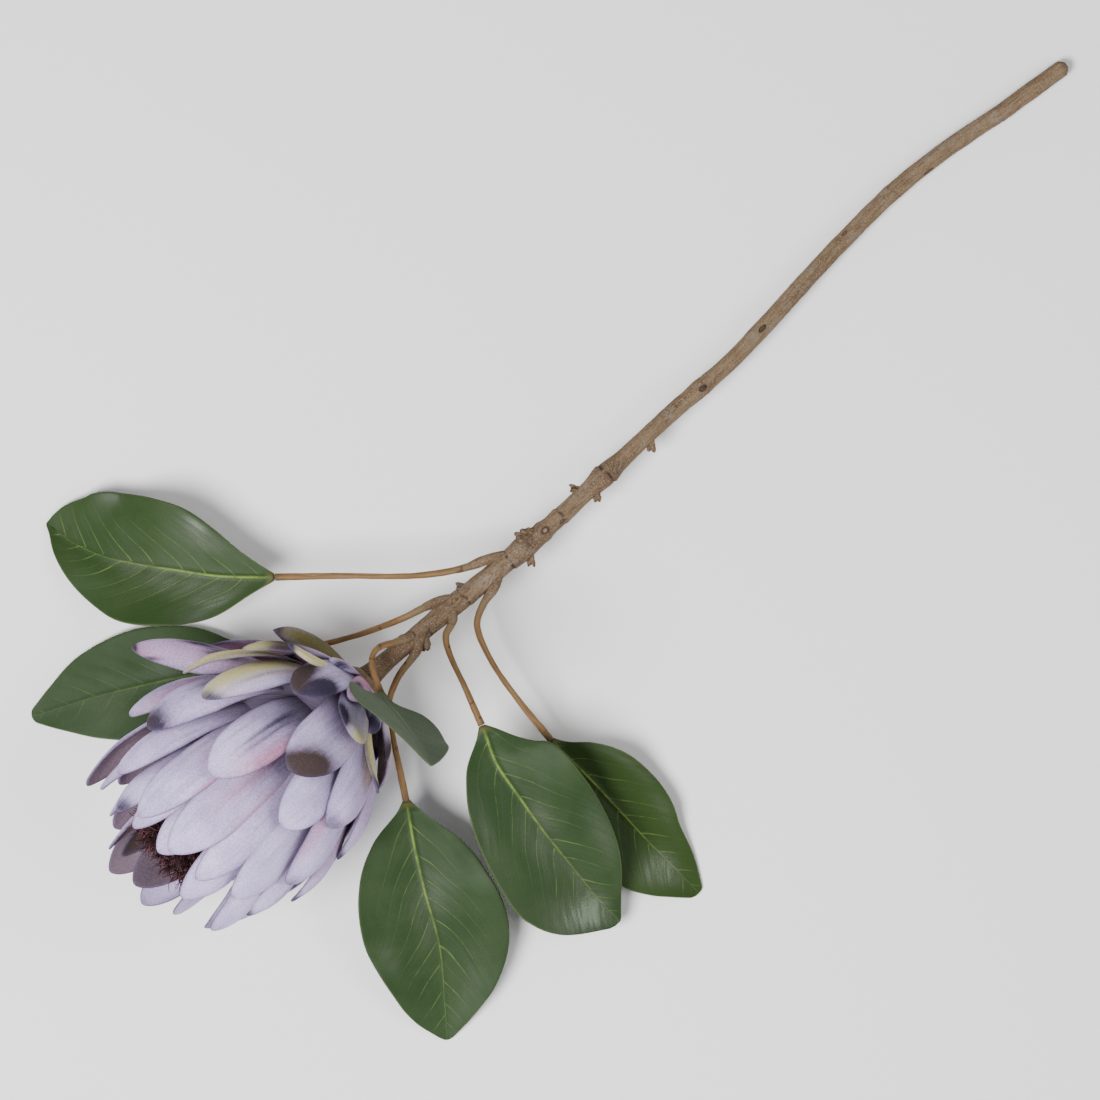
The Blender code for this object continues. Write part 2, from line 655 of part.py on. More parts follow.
def between(profile, s):
    """The smooth value at s of a profile of (s, value) points."""
    if s >= profile[-1][0]:
        return profile[-1][1]
    i = max(k for k in range(len(profile) - 1) if profile[k][0] <= s)
    (s0, v0), (s1, v1) = profile[i], profile[i + 1]
    before = profile[max(i - 1, 0)]
    after = profile[min(i + 2, len(profile) - 1)]
    slope0 = (v1 - before[1]) / (s1 - before[0]) * (s1 - s0)
    slope1 = (after[1] - v0) / (after[0] - s0) * (s1 - s0)
    u = (s - s0) / (s1 - s0)
    keep = 2 * u ** 3 - 3 * u ** 2 + 1
    lead = u ** 3 - 2 * u ** 2 + u
    trail = u ** 3 - u ** 2
    return keep * v0 + lead * slope0 + (1 - keep) * v1 + trail * slope1


def leaf_route(number):
    """The midrib's line, starting in line with the end of its stalk."""
    stalk = petiole_places(number)
    heading = (stalk[-1] - stalk[-2]).normalized()
    start = stalk[-1] + heading * COLLAR_GAP * MM
    points = [start, start + heading * COLLAR_LENGTH * MM]
    points += [from_knot(*p) for p in LEAVES[number]["route"]]
    return smooth_curve(points, 60)


def leaf_surface(number):
    """The middle surface of one leaf as a function of (s, t)."""
    spec = LEAVES[number]
    route = leaf_route(number)
    headings = tangents(route)
    face = Vector(spec["face"])
    collar = COLLAR_LENGTH * MM / sum((b - a).length for a, b in zip(route, route[1:]))
    profiles = [((0.0, LEAF_FOOT),) + spec[side] for side in ("left", "right")]

    def surface(s, t):
        spot = s * (len(route) - 1)
        i = min(int(spot), len(route) - 2)
        place = route[i].lerp(route[i + 1], spot - i)
        along = headings[i].lerp(headings[i + 1], spot - i).normalized()
        up = (face - along * face.dot(along)).normalized()
        right = along.cross(up)
        profile = profiles[1 if t > 0 else 0]
        width = max(between(profile, s), LEAF_TIP_WIDTH) * MM
        reach = width / MM / max(half for _, half in profile)
        fold = math.radians(spec["fold"])
        ripple = math.sin(2 * math.pi * spec["waves"] * s + spec["phase"] + (0.9 if t > 0 else 0.0))
        lift = abs(t) * width * math.sin(fold) + spec["wave"] * MM * reach * t * t * ripple
        return place + right * t * width * math.cos(fold) + up * lift

    foot = (face - headings[0] * face.dot(headings[0])).normalized()
    return surface, collar, -foot


def make_leaf(number, look):
    surface, collar, foot_normal = leaf_surface(number)

    def thickness(s, t):
        round_part = LEAF_FOOT * math.sqrt(max(1 - t * t, 0.06))
        flat = LEAF_THICKNESS / 2
        ridge = flat + (LEAF_RIB - flat) * (1 - s) ** 0.6 * max(1 - 3 * abs(t), 0.0)
        share = min(max((s - collar * 0.5) / collar, 0.0), 1.0)
        return (round_part * (1 - share) + ridge * share) * MM

    bm = bmesh.new()
    blade(bm, surface, thickness, LEAF_STATIONS, LEAF_COLUMNS, foot_normal)
    for vert in bm.verts:
        vert.co.z = max(vert.co.z, LEAF_LOWEST * MM)
    return finished(f"leaf_{number}", bm, look)


def main():
    clear_scene()
    make_stem()
    petiole_look = material("petiole", 0.6)
    leaf_look = material("leaf", 0.45)
    for number in PETIOLES:
        make_petiole(number, petiole_look)
        make_leaf(number, leaf_look)
    make_basal_bracts()
    make_petal_bracts()
    make_florets()


main()
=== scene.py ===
import random
from math import asin, cos, degrees, dist, exp, hypot, log1p, pi, radians, sin, sqrt

import bpy
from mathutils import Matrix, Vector
from mathutils import noise


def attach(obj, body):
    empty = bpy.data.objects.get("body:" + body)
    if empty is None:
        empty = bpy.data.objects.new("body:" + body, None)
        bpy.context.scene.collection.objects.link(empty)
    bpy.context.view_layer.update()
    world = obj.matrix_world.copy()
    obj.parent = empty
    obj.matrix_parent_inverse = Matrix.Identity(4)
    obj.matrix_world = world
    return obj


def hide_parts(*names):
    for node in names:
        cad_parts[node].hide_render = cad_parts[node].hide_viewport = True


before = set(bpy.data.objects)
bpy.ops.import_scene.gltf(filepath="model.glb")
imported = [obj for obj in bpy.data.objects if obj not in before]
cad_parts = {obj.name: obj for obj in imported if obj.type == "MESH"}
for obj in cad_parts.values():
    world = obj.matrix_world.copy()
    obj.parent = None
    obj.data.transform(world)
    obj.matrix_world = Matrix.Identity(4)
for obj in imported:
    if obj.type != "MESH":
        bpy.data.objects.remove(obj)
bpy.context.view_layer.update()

# A cut protea stem with one bloom and six leaves, dressed round its solids. Metres, +Z up.
mm = 0.001
middle = Vector((0.3, -13.7, 0.0)) * mm  # from the knot on the stem to the row's origin
up = Vector((0, 0, 1))


# Places and curves

def fromKnot(x, y, z):  # millimetres from the knot
    return Vector((x, y, z)) * mm - middle


def smoothCurve(points, count, steps=24):  # centripetal curve, evenly spaced
    ends = [points[0] * 2 - points[1], *points, points[-1] * 2 - points[-2]]
    fine = []
    for i in range(len(points) - 1):
        a, b, c, d = ends[i:i + 4]
        tb = sqrt((b - a).length)
        tc = tb + sqrt((c - b).length)
        td = tc + sqrt((d - c).length)
        for k in range(steps):
            t = tb + (tc - tb) * k / steps
            ab = a.lerp(b, t / tb)
            bc = b.lerp(c, (t - tb) / (tc - tb))
            cd = c.lerp(d, (t - tc) / (td - tc))
            abc = ab.lerp(bc, t / tc)
            bcd = bc.lerp(cd, (t - tb) / (td - tb))
            fine.append(abc.lerp(bcd, (t - tb) / (tc - tb)))
    fine.append(points[-1].copy())
    lengths = [0.0]
    for a, b in zip(fine, fine[1:]):
        lengths.append(lengths[-1] + (b - a).length)
    places = []
    j = 0
    for i in range(count + 1):
        wanted = lengths[-1] * i / count
        while j < len(fine) - 2 and lengths[j + 1] < wanted:
            j += 1
        share = (wanted - lengths[j]) / max(lengths[j + 1] - lengths[j], 1e-12)
        places.append(fine[j].lerp(fine[j + 1], min(share, 1.0)))
    return places


def headingsOf(places):
    last = len(places) - 1
    return [(places[min(i + 1, last)] - places[max(i - 1, 0)]).normalized() for i in range(last + 1)]


def between(profile, s):  # smooth value at s from (s, value) points
    if s <= profile[0][0]:
        return profile[0][1]
    if s >= profile[-1][0]:
        return profile[-1][1]
    i = max(k for k in range(len(profile) - 1) if profile[k][0] <= s)
    (s0, v0), (s1, v1) = profile[i], profile[i + 1]
    before = profile[max(i - 1, 0)]
    after = profile[min(i + 2, len(profile) - 1)]
    width = s1 - s0
    slope0 = (v1 - before[1]) / (s1 - before[0]) * width
    slope1 = (after[1] - v0) / (after[0] - s0) * width
    u = (s - s0) / width
    keep = 2 * u ** 3 - 3 * u ** 2 + 1
    lead = u ** 3 - 2 * u ** 2 + u
    trail = u ** 3 - u ** 2
    return keep * v0 + lead * slope0 + (1 - keep) * v1 + trail * slope1


def eased(value, low, high):  # 0 below low, 1 above high, smooth between
    u = min(max((value - low) / (high - low), 0.0), 1.0)
    return u * u * (3 - 2 * u)


def bell(value):  # 1 at 0, fading to both sides
    return exp(-value ** 2)


def rounded(share):  # the height of a quarter round, from its foot at 0 to its top at 1
    return sqrt(max(1 - (1 - share) ** 2, 0.0))


def rough(x, y, z):
    return noise.noise(Vector((x, y, z)))


def roughRound(size, angle, z):  # the same, round a tube
    return rough(size * cos(angle), size * sin(angle), z)


# Meshes: a heap gathers the shells of one piece, with what its finish reads at each point

def newHeap():
    return {"verts": [], "faces": [], "fibre": [], "dyes": [], "zones": []}


def addPoint(heap, place, fibre, dyes=(0, 0, 0, 0), zones=(0, 0, 0, 0)):
    heap["verts"].append((place.x, place.y, max(place.z, 0.0)))
    heap["fibre"].extend(fibre)
    heap["dyes"].extend(dyes)
    heap["zones"].extend(zones)


def closeLoops(heap, start, loops, size):  # faces between loops of points, then both ends
    faces = heap["faces"]
    for i in range(loops - 1):
        for k in range(size):
            a = start + i * size + k
            b = start + i * size + (k + 1) % size
            faces.append((a, a + size, b + size, b))
    tip = start + loops * size
    foot = tip + 1
    lastLoop = tip - size
    for k in range(size):
        n = (k + 1) % size
        faces.append((lastLoop + k, tip, lastLoop + n))
        faces.append((start + k, start + n, foot))


def addShell(heap, surfaceAt, thicknessAt, rows, across, notesAt):  # a closed thin sheet
    start = len(heap["verts"])
    grid = [[surfaceAt(s, t) for t in across] for s in rows]
    last = len(across) - 1
    loop = [(j, 1) for j in range(last + 1)] + [(j, -1) for j in range(last - 1, 0, -1)]
    for i, s in enumerate(rows[:-1]):
        for j, side in loop:
            alongWay = grid[i + 1][j] - grid[max(i - 1, 0)][j]
            acrossWay = grid[i][min(j + 1, last)] - grid[i][max(j - 1, 0)]
            outward = alongWay.cross(acrossWay).normalized()
            face = 0 if j in (0, last) else side
            place = grid[i][j] + outward * (face * thicknessAt(s, across[j]))
            addPoint(heap, place, *notesAt(s, across[j], face))
    addPoint(heap, grid[-1][last // 2], *notesAt(rows[-1], 0.0, 0))
    addPoint(heap, grid[0][last // 2], *notesAt(rows[0], 0.0, 0))
    closeLoops(heap, start, len(rows) - 1, len(loop))


def addTube(heap, places, radiusAt, sides, notesAt, headings=None):  # a closed round tube
    start = len(heap["verts"])
    side = up.copy()
    for i, (place, along) in enumerate(zip(places, headings or headingsOf(places))):
        side = (side - along * side.dot(along)).normalized()
        across = along.cross(side)
        for k in range(sides):
            angle = 2 * pi * k / sides
            out = cos(angle) * side - sin(angle) * across
            addPoint(heap, place + out * radiusAt(i, angle), *notesAt(i, angle))
    addPoint(heap, places[-1], *notesAt(len(places) - 1, 0.0))
    addPoint(heap, places[0], *notesAt(0, 0.0))
    closeLoops(heap, start, len(places), sides)


def addObject(name, data):
    thing = bpy.data.objects.new(name, data)
    bpy.context.scene.collection.objects.link(thing)
    return thing


def makePiece(name, heap, finish, slot, *nodes):
    mesh = bpy.data.meshes.new(name)
    mesh.from_pydata(heap["verts"], [], heap["faces"])
    mesh.attributes.new("fibre", "FLOAT_VECTOR", "POINT").data.foreach_set("vector", heap["fibre"])
    for layer in ("dyes", "zones"):
        mesh.attributes.new(layer, "FLOAT_COLOR", "POINT").data.foreach_set("color", heap[layer])
    mesh.shade_smooth()
    mesh.materials.append(finish)
    mesh.update()
    piece = addObject(name, mesh)
    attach(piece, "root")
    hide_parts(*nodes)


# Finishes: small helpers for their nodes. A new node joins the tree of the socket that it reads.

def newFinish(name, roughness, gloss=0.5):
    finish = bpy.data.materials.new(name)
    finish.use_nodes = True
    shader = finish.node_tree.nodes["Principled BSDF"]
    shader.inputs["Roughness"].default_value = roughness
    shader.inputs["Specular IOR Level"].default_value = gloss
    return finish, shader


def attribute(shader, name):
    node = shader.id_data.nodes.new("ShaderNodeAttribute")
    node.attribute_name = name
    return node.outputs


def put(socket, value):  # a link, or a fixed value
    if isinstance(value, bpy.types.NodeSocket):
        socket.id_data.links.new(value, socket)
    elif isinstance(value, tuple) and len(value) == 3 and socket.type == "RGBA":
        socket.default_value = (*value, 1.0)
    else:
        socket.default_value = value


def newNode(kind, values, places=range(9), **settings):
    near = next(value for value in values if isinstance(value, bpy.types.NodeSocket))
    node = near.id_data.nodes.new("ShaderNode" + kind)
    for name, value in settings.items():
        setattr(node, name, value)
    for place, value in zip(places, values):
        put(node.inputs[place], value)
    return node


def sums(operation, *values, clamp=False):
    return newNode("Math", values, operation=operation, use_clamp=clamp).outputs[0]


def times(first, second, clamp=False):
    return sums("MULTIPLY", first, second, clamp=clamp)


def mix(amount, under, over, way="MIX"):
    return newNode("Mix", (amount, under, over), (0, 6, 7), data_type="RGBA", blend_type=way).outputs[2]


def layered(colour, layers):  # each layer is its amount and its colour
    for amount, over in layers:
        colour = mix(amount, colour, over)
    return colour


def ramp(value, low, high, lowest=0, highest=1):
    values = (value, low, high, lowest, highest)
    return newNode("MapRange", values, interpolation_type="SMOOTHSTEP").outputs[0]


def stretched(vector, scale):
    return newNode("VectorMath", (vector, scale), operation="MULTIPLY").outputs[0]


def cloud(vector, scale, detail=3, roughness=0.55):
    values = (vector, scale, detail, roughness)
    return newNode("TexNoise", values, ("Vector", "Scale", "Detail", "Roughness")).outputs["Fac"]


def splitUp(colour):
    return newNode("SeparateColor", (colour,)).outputs[:3]


def paint(shader, colour, *reliefs):  # a relief is its height, strength and depth in millimetres
    put(shader.inputs["Base Color"], colour)
    for height, strength, depth in reliefs:
        node = newNode("Bump", (height,), ("Height",))
        node.inputs["Strength"].default_value = strength
        node.inputs["Distance"].default_value = depth * mm
        earlier = shader.inputs["Normal"].links
        if earlier:
            put(node.inputs["Normal"], earlier[0].from_socket)
        put(shader.inputs["Normal"], node.outputs[0])


# The bloom: its axis, and the rings of bracts as they stand in the solids

bloom = {
    "base": Vector((-171.4, 0, 49)) * mm,
    "tilt": radians(12),
    "core": ((6.3, 13.5), (14, 21), (30, 31), (55, 38), (80, 39.5), (100, 36)),
    "cup": ((-3.7, 8), (-1, 11), (2.5, 13), (6, 12.5)),
}
bloomAlong = Vector((-cos(bloom["tilt"]), 0, sin(bloom["tilt"])))
bloomUp = Vector((sin(bloom["tilt"]), 0, cos(bloom["tilt"])))
bloomSide = Vector((0, -1, 0))


def inBloom(along, radius, angle):  # millimetres along it and from its axis, degrees round it
    turned = radians(angle)
    outward = cos(turned) * bloomUp + sin(turned) * bloomSide
    return bloom["base"] - middle + (along * bloomAlong + radius * outward) * mm


# Each middle line runs from root over bend to tip, as (along the bloom, from its axis).
# Angles go round the bloom: 0 is up and 90 is towards -Y. tips and own hold what differs on one bract.
basalRings = (
    dict(
        angles=(-76, -58, -34, 4, 39, 75, 120, 165, 212, 250),
        root=(0, 4), bend=(1, 27), tip=(19, 45), width=15, waist=0.32,
        tips={
            -76: (21, 59), -34: (13, 36), -58: (25.5, 60.5), 39: (22, 41), 75: (21, 45), 165: (16, 38),
        },
        own={
            -76: dict(twist=-62, point=0.85),
            -58: dict(bend=(23.3, 57.7), width=10, turn=30, swing=-20, twist=-20, point=0.7, innerTone=0),
        },
    ),
    dict(
        angles=(-63, -25, 21, 62, 102, 141, 180, 215, 250),
        root=(2, 5), bend=(8, 46), tip=(38, 61), width=21, waist=0.28,
        tips={
            -63: (45, 67), -25: (43, 60), 21: (35.6, 62), 62: (42.1, 70), 102: (33, 54), 141: (31, 57),
            180: (28, 51), 215: (31, 57), 250: (53, 79),
        },
        own={
            -25: dict(width=28, swing=3, waist=0.5),
            21: dict(root=(4, 6), bend=(22, 49), width=27, waist=0.6, turn=-9, swing=8),
            62: dict(bend=(35.7, 53.5), width=18, turn=-15, twist=-12, innerTone=0),
            250: dict(twist=15),
        },
    ),
)
petalRings = (
    dict(
        angles=(-88, -70, -49, 14, 47, 84, 118, 150, 180, 212, 244),
        root=(13, 8), bend=(25, 60), tip=(76, 67), width=33, waist=0.2,
        tips={-88: (85, 101), -70: (77, 75), -49: (80, 68), 14: (73, 64)},
        own={
            -88: dict(bend=(44, 58), width=24, twist=-55), -70: dict(bend=(26, 64), width=15),
            14: dict(width=37, swing=-7, waist=0.85), 180: dict(resting=True),
        },
    ),
    dict(
        angles=(-92, -63, -14, 28, 57, 85, 118, 150, 181, 211, 240),
        root=(25, 12), bend=(53, 69), tip=(111, 67), width=32, waist=0.4,
        tips={28: (97, 66), -14: (109, 66), -92: (108, 72)},
        own={-63: dict(twist=-20), -14: dict(width=33), -92: dict(twist=-30)},
    ),
    dict(
        angles=(-88, -57, -26, 2, 23, 46, 74, 102, 130, 158, 186, 214, 242),
        root=(37, 14), bend=(82, 69), tip=(149, 58), width=31, waist=0.45,
        tips={
            -88: (154, 60), -57: (141, 62), -26: (150, 57), 2: (150, 58), 23: (149, 57), 46: (140, 61),
            74: (136, 59), 102: (138, 55), 130: (140, 58), 158: (144, 62.5), 242: (134, 56),
        },
        own={
            -88: dict(twist=22), 2: dict(width=34), 23: dict(width=25), 102: dict(twist=20),
            130: dict(twist=50, point=0.7),
        },
    ),
    dict(
        angles=(-77, -47, -26, -4, 29, 62, 90, 118, 146, 175, 194, 214, 236, 203, 169),
        root=(47, 14), bend=(100, 61), tip=(159.5, 52), width=28, waist=0.2, skew=6,
        tips={
            -77: (150, 54), -47: (160, 52), 29: (165, 52), 62: (161, 57), 90: (144, 51), 118: (149, 54),
            146: (153, 52), 175: (156, 48), 194: (160, 56), 214: (156, 44), 236: (147, 45),
            203: (153, 40), 169: (160, 59),
        },
        own={
            -47: dict(width=24), -26: dict(width=24), 90: dict(point=0.7),
            118: dict(twist=52, point=0.85), 146: dict(width=32, twist=72),
            175: dict(bend=(98, 56), width=33, swing=4), 194: dict(bend=(100, 64), width=30),
            214: dict(width=24, twist=-50), 236: dict(width=22, twist=-42),
            203: dict(bend=(98, 46), width=16), 169: dict(bend=(102, 62), width=28, innerTone=0.15),
        },
    ),
)
# Painted marks on the bracts that show from above: dye, place along and across, spread, strength.
# Across runs from -1 to 1 with the angle. The other bracts draw theirs at random.
petalMarks = {
    (0, -70): (
        ("cream", 0.7, 0, 0.5, 1.6, 1.2), ("brown", 0.6, 0.7, 0.4, 0.3, 0.45),
        ("brown", 0.35, 0, 0.2, 1, 0.5),
    ),
    (0, 14): (
        ("brown", 1.04, 0.4, 0.25, 0.8, 2.6), ("indigo", 1, -0.25, 0.07, 0.35, 1.4),
        # painted shadow: the faint indigo over the right side stands for shade, not dye
        ("indigo", 0.4, 0.8, 0.3, 0.4, 0.3),
    ),
    (0, -49): (
        ("cream", 0.68, -0.15, 0.4, 0.55, 1.3), ("brown", 0.42, -0.9, 0.25, 0.5, 0.6),
        ("indigo", 0.6, 0.45, 0.3, 0.12, 0.5), ("indigo", 0.985, 0.3, 0.06, 0.6, 0.9),
        ("brown", 0.5, -0.3, 0.2, 0.5, 0.3),
    ),
    (0, 47): (
        # The broad indigo over the whole bract is partly its own darker tone, partly painted shade on the
        # far side of the bloom
        ("indigo", 0.5, 0.1, 0.6, 0.9, 0.34), ("blush", 0.55, 0.8, 0.3, 0.35, 0.4),
        ("indigo", 0.97, 0.2, 0.06, 0.7, 0.5),
    ),
    (0, -88): (
        ("blush", 0.6, 0, 0.6, 1.4, 0.5), ("brown", 1, 0.2, 0.03, 0.8, 1.6),
        # The two narrow indigo bands form a diagonal line of painted shade where the blade folds under
        # the bract beside it
        ("indigo", 0.68, -0.7, 0.1, 0.22, 1), ("indigo", 0.55, -0.15, 0.09, 0.35, 0.9),
        ("indigo", 0.35, 0, 0.22, 1.2, 0.55),
        ("brown", 0.92, 0.62, 0.08, 0.12, 0.9), ("blush", 0.95, 0.3, 0.06, 0.4, 0.4),
    ),
    (0, 84): (
        ("indigo", 0.6, 0.4, 0.4, 0.5, 0.3), ("blush", 0.7, -0.6, 0.3, 0.3, 0.3),
        ("indigo", 1, 0, 0.05, 1.2, 1.2),
    ),
    (1, -14): (
        ("indigo", 0.62, 0, 0.26, 0.09, 0.7), ("indigo", 0.66, 0.25, 0.24, 0.07, 0.6),
        ("indigo", 0.42, 0, 0.16, 0.4, 0.5), ("blush", 0.62, 0.9, 0.2, 0.3, 1.2),
        ("blush", 0.8, 0.55, 0.16, 0.4, 0.5),
    ),
    (1, -63): (
        ("indigo", 1, 0.1, 0.13, 0.9, 1.2), ("brown", 1, -0.3, 0.12, 0.6, 0.7),
        ("indigo", 0.6, -0.2, 0.25, 0.2, 0.5),
    ),
    (1, 28): (("blush", 0.95, 0.3, 0.1, 0.5, 0.12), ("indigo", 0.45, 0.3, 0.25, 0.6, 0.2)),
    (1, 57): (("blush", 0.7, -0.75, 0.28, 0.3, 0.6), ("indigo", 0.98, 0.2, 0.05, 0.6, 0.6)),
    (1, -92): (("blush", 0.5, 0.5, 0.45, 0.45, 1.1),),
    (1, 85): (
        ("blush", 0.6, -0.5, 0.3, 0.4, 0.4), ("indigo", 0.7, 0.3, 0.3, 0.4, 0.3),
        ("indigo", 1, 0.2, 0.05, 1.2, 1.3),
    ),
    (2, 74): (("indigo", 1, 0, 0.04, 1.2, 1),),
    (2, 2): (
        ("blush", 0.52, -0.05, 0.24, 0.25, 0.6), ("indigo", 0.44, 0, 0.18, 0.25, 0.4),
        ("blush", 0.55, 0.9, 0.2, 0.2, 0.8), ("indigo", 0.36, 0.4, 0.14, 0.4, 0.5),
    ),
    (2, -26): (
        ("blush", 0.46, 0.1, 0.2, 0.3, 0.6), ("indigo", 0.44, 0.15, 0.2, 0.2, 0.5),
        ("indigo", 0.985, -0.7, 0.04, 0.5, 0.4), ("blush", 0.68, 0.95, 0.1, 0.12, 0.9),
    ),
    (2, -57): (("indigo", 0.98, -0.2, 0.05, 0.7, 0.25),),
    (2, 23): (("blush", 0.93, 0.7, 0.08, 0.3, 0.3), ("indigo", 0.6, -0.1, 0.2, 0.5, 0.15)),
    (2, 46): (("indigo", 0.45, 0.3, 0.2, 0.3, 0.22),),
    (3, -47): (("indigo", 0.97, 0.2, 0.06, 0.9, 0.9),),
    (3, 29): (("blush", 0.95, 0.6, 0.08, 0.4, 0.25),),
    (3, 62): (("indigo", 0.5, 0.6, 0.35, 0.3, 0.3),),
    (3, 175): (("indigo", 0.7, 0, 0.5, 1.2, 0.62), ("brown", 0.7, 0, 0.5, 1.2, 0.4)),
    (3, 194): (("indigo", 0.7, 0, 0.5, 1.2, 0.12),),
    (3, 203): (("brown", 0.8, 0, 0.6, 1.6, 1.3),),
    (3, 169): (("indigo", 0.99, 0, 0.03, 0.8, 0.3),),
}
basalMarks = {
    (0, -76): (
        ("olive", 0.5, 0, 0.9, 1.8, 1.1), ("brown", 0.5, 0.8, 0.4, 0.3, 0.35),
        ("brown", 1, 0, 0.09, 1.5, 1.5), ("brown", 0.8, 0.8, 0.2, 0.2, 0.8),
    ),
    (0, -58): (("cream", 0.5, 0, 0.6, 2, 1.2), ("indigo", 0.97, 0, 0.14, 1.5, 1.6)),
    (0, -34): (("blush", 0.5, -0.5, 0.3, 0.4, 0.9), ("indigo", 0.8, 0.4, 0.3, 0.5, 1)),
    (0, 4): (("blush", 0.5, 0, 0.6, 1.5, 1.1), ("indigo", 0.75, -0.2, 0.2, 0.5, 1.2)),
    (0, 39): (("blush", 0.45, 0, 0.3, 1.2, 0.9), ("indigo", 0.9, 0, 0.2, 1.2, 1.3)),
    (0, 75): (("cream", 0.4, 0, 0.5, 1.2, 0.6), ("brown", 0.9, 0, 0.2, 1.2, 1.2)),
    (1, -63): (
        ("cream", 0.9, 0, 0.25, 1.8, 1.2), ("brown", 0.66, 0.2, 0.2, 0.9, 1),
        ("brown", 0.75, 0.9, 0.25, 0.3, 0.6), ("blush", 0.35, 0, 0.2, 1, 0.3),
    ),
    (1, -25): (
        ("brown", 0.98, -0.5, 0.3, 0.55, 2.6), ("indigo", 0.95, 0.45, 0.26, 0.34, 2.6),
        ("indigo", 0.8, 0.8, 0.15, 0.3, 1.6), ("indigo", 0.52, -0.7, 0.12, 0.3, 0.7),
        ("brown", 0.25, 0.4, 0.14, 0.8, 0.7),
    ),
    (1, 21): (
        ("indigo", 0.86, -0.75, 0.2, 0.4, 2), ("cream", 0.95, 0.4, 0.22, 0.6, 1.1),
        ("cream", 0.5, 0.9, 0.4, 0.3, 0.6),
    ),
    (1, 62): (("cream", 0.6, 0, 0.6, 1.8, 1.2), ("indigo", 0.98, 0, 0.14, 1.5, 1.5)),
    (1, 250): (("blush", 0.5, 0, 0.5, 1.5, 0.7), ("brown", 0.96, 0, 0.1, 1.2, 0.9)),
}
dyeOrder = ("blush", "indigo", "brown", "cream", "olive")


def strayMarks(draw, basal):
    tip = draw.choice(("indigo", "brown")) if basal else "indigo"
    strength = draw.uniform(0.8, 1.4) if basal else draw.choice((0.0, 0.0, 0.3, 0.7))
    marks = [(tip, 0.96, draw.uniform(-0.4, 0.4), 0.13 if basal else 0.06, 0.9, strength)]
    if basal:
        marks.append(("cream", draw.uniform(0.4, 0.7), 0.0, 0.4, 1.2, draw.uniform(0.1, 0.9)))
    along, across = draw.uniform(0.38, 0.55), draw.uniform(-0.3, 0.3)
    marks.append(("indigo", along, across, 0.18, 0.14, draw.uniform(0.0, 0.6)))
    side = draw.choice((-0.9, 0.9))
    marks.append(("blush", draw.uniform(0.5, 0.75), side, 0.22, 0.3, draw.uniform(0.0, 0.9)))
    return marks


bractShape = {
    "thickness": 1.7,  # millimetres, where the bract is thickest
    "rim": 1.5,  # how far its rounded rim reaches in
    "widestAt": 0.66,
    "tipRoundness": 2.3,
    "point": 0.6,
    "lean": (0.6, 1.2),
    "cup": (3.4, 4.6),
    "rows": 40,
    "columns": 26,
    "tuck": 2.2,  # how far the tip bends in
    "unevenness": 0.45,
    "lowest": 0.6,
    "softLanding": 0.4,
    "pressedDown": 1.8,
}


def bractOutline(s, waist, point):  # half width as a share of the widest: narrow foot, round tip
    widest = bractShape["widestAt"]
    foot = waist + (1 - waist) * sin(min(s / widest, 1.0) * pi / 2) ** 1.3
    past = max(s - widest, 0.0) / (1 - widest)
    return foot * max(1 - past ** bractShape["tipRoundness"], 0.0) ** point


def settled(place, resting):  # keeps a bract's middle above the table
    lowest = bractShape["lowest"]
    height = place.z / mm
    if resting:
        place.z = max(height - bractShape["pressedDown"], lowest) * mm
    else:
        lowest += bractShape["softLanding"]
        place.z = (lowest + log1p(exp(height - lowest))) * mm
    return place


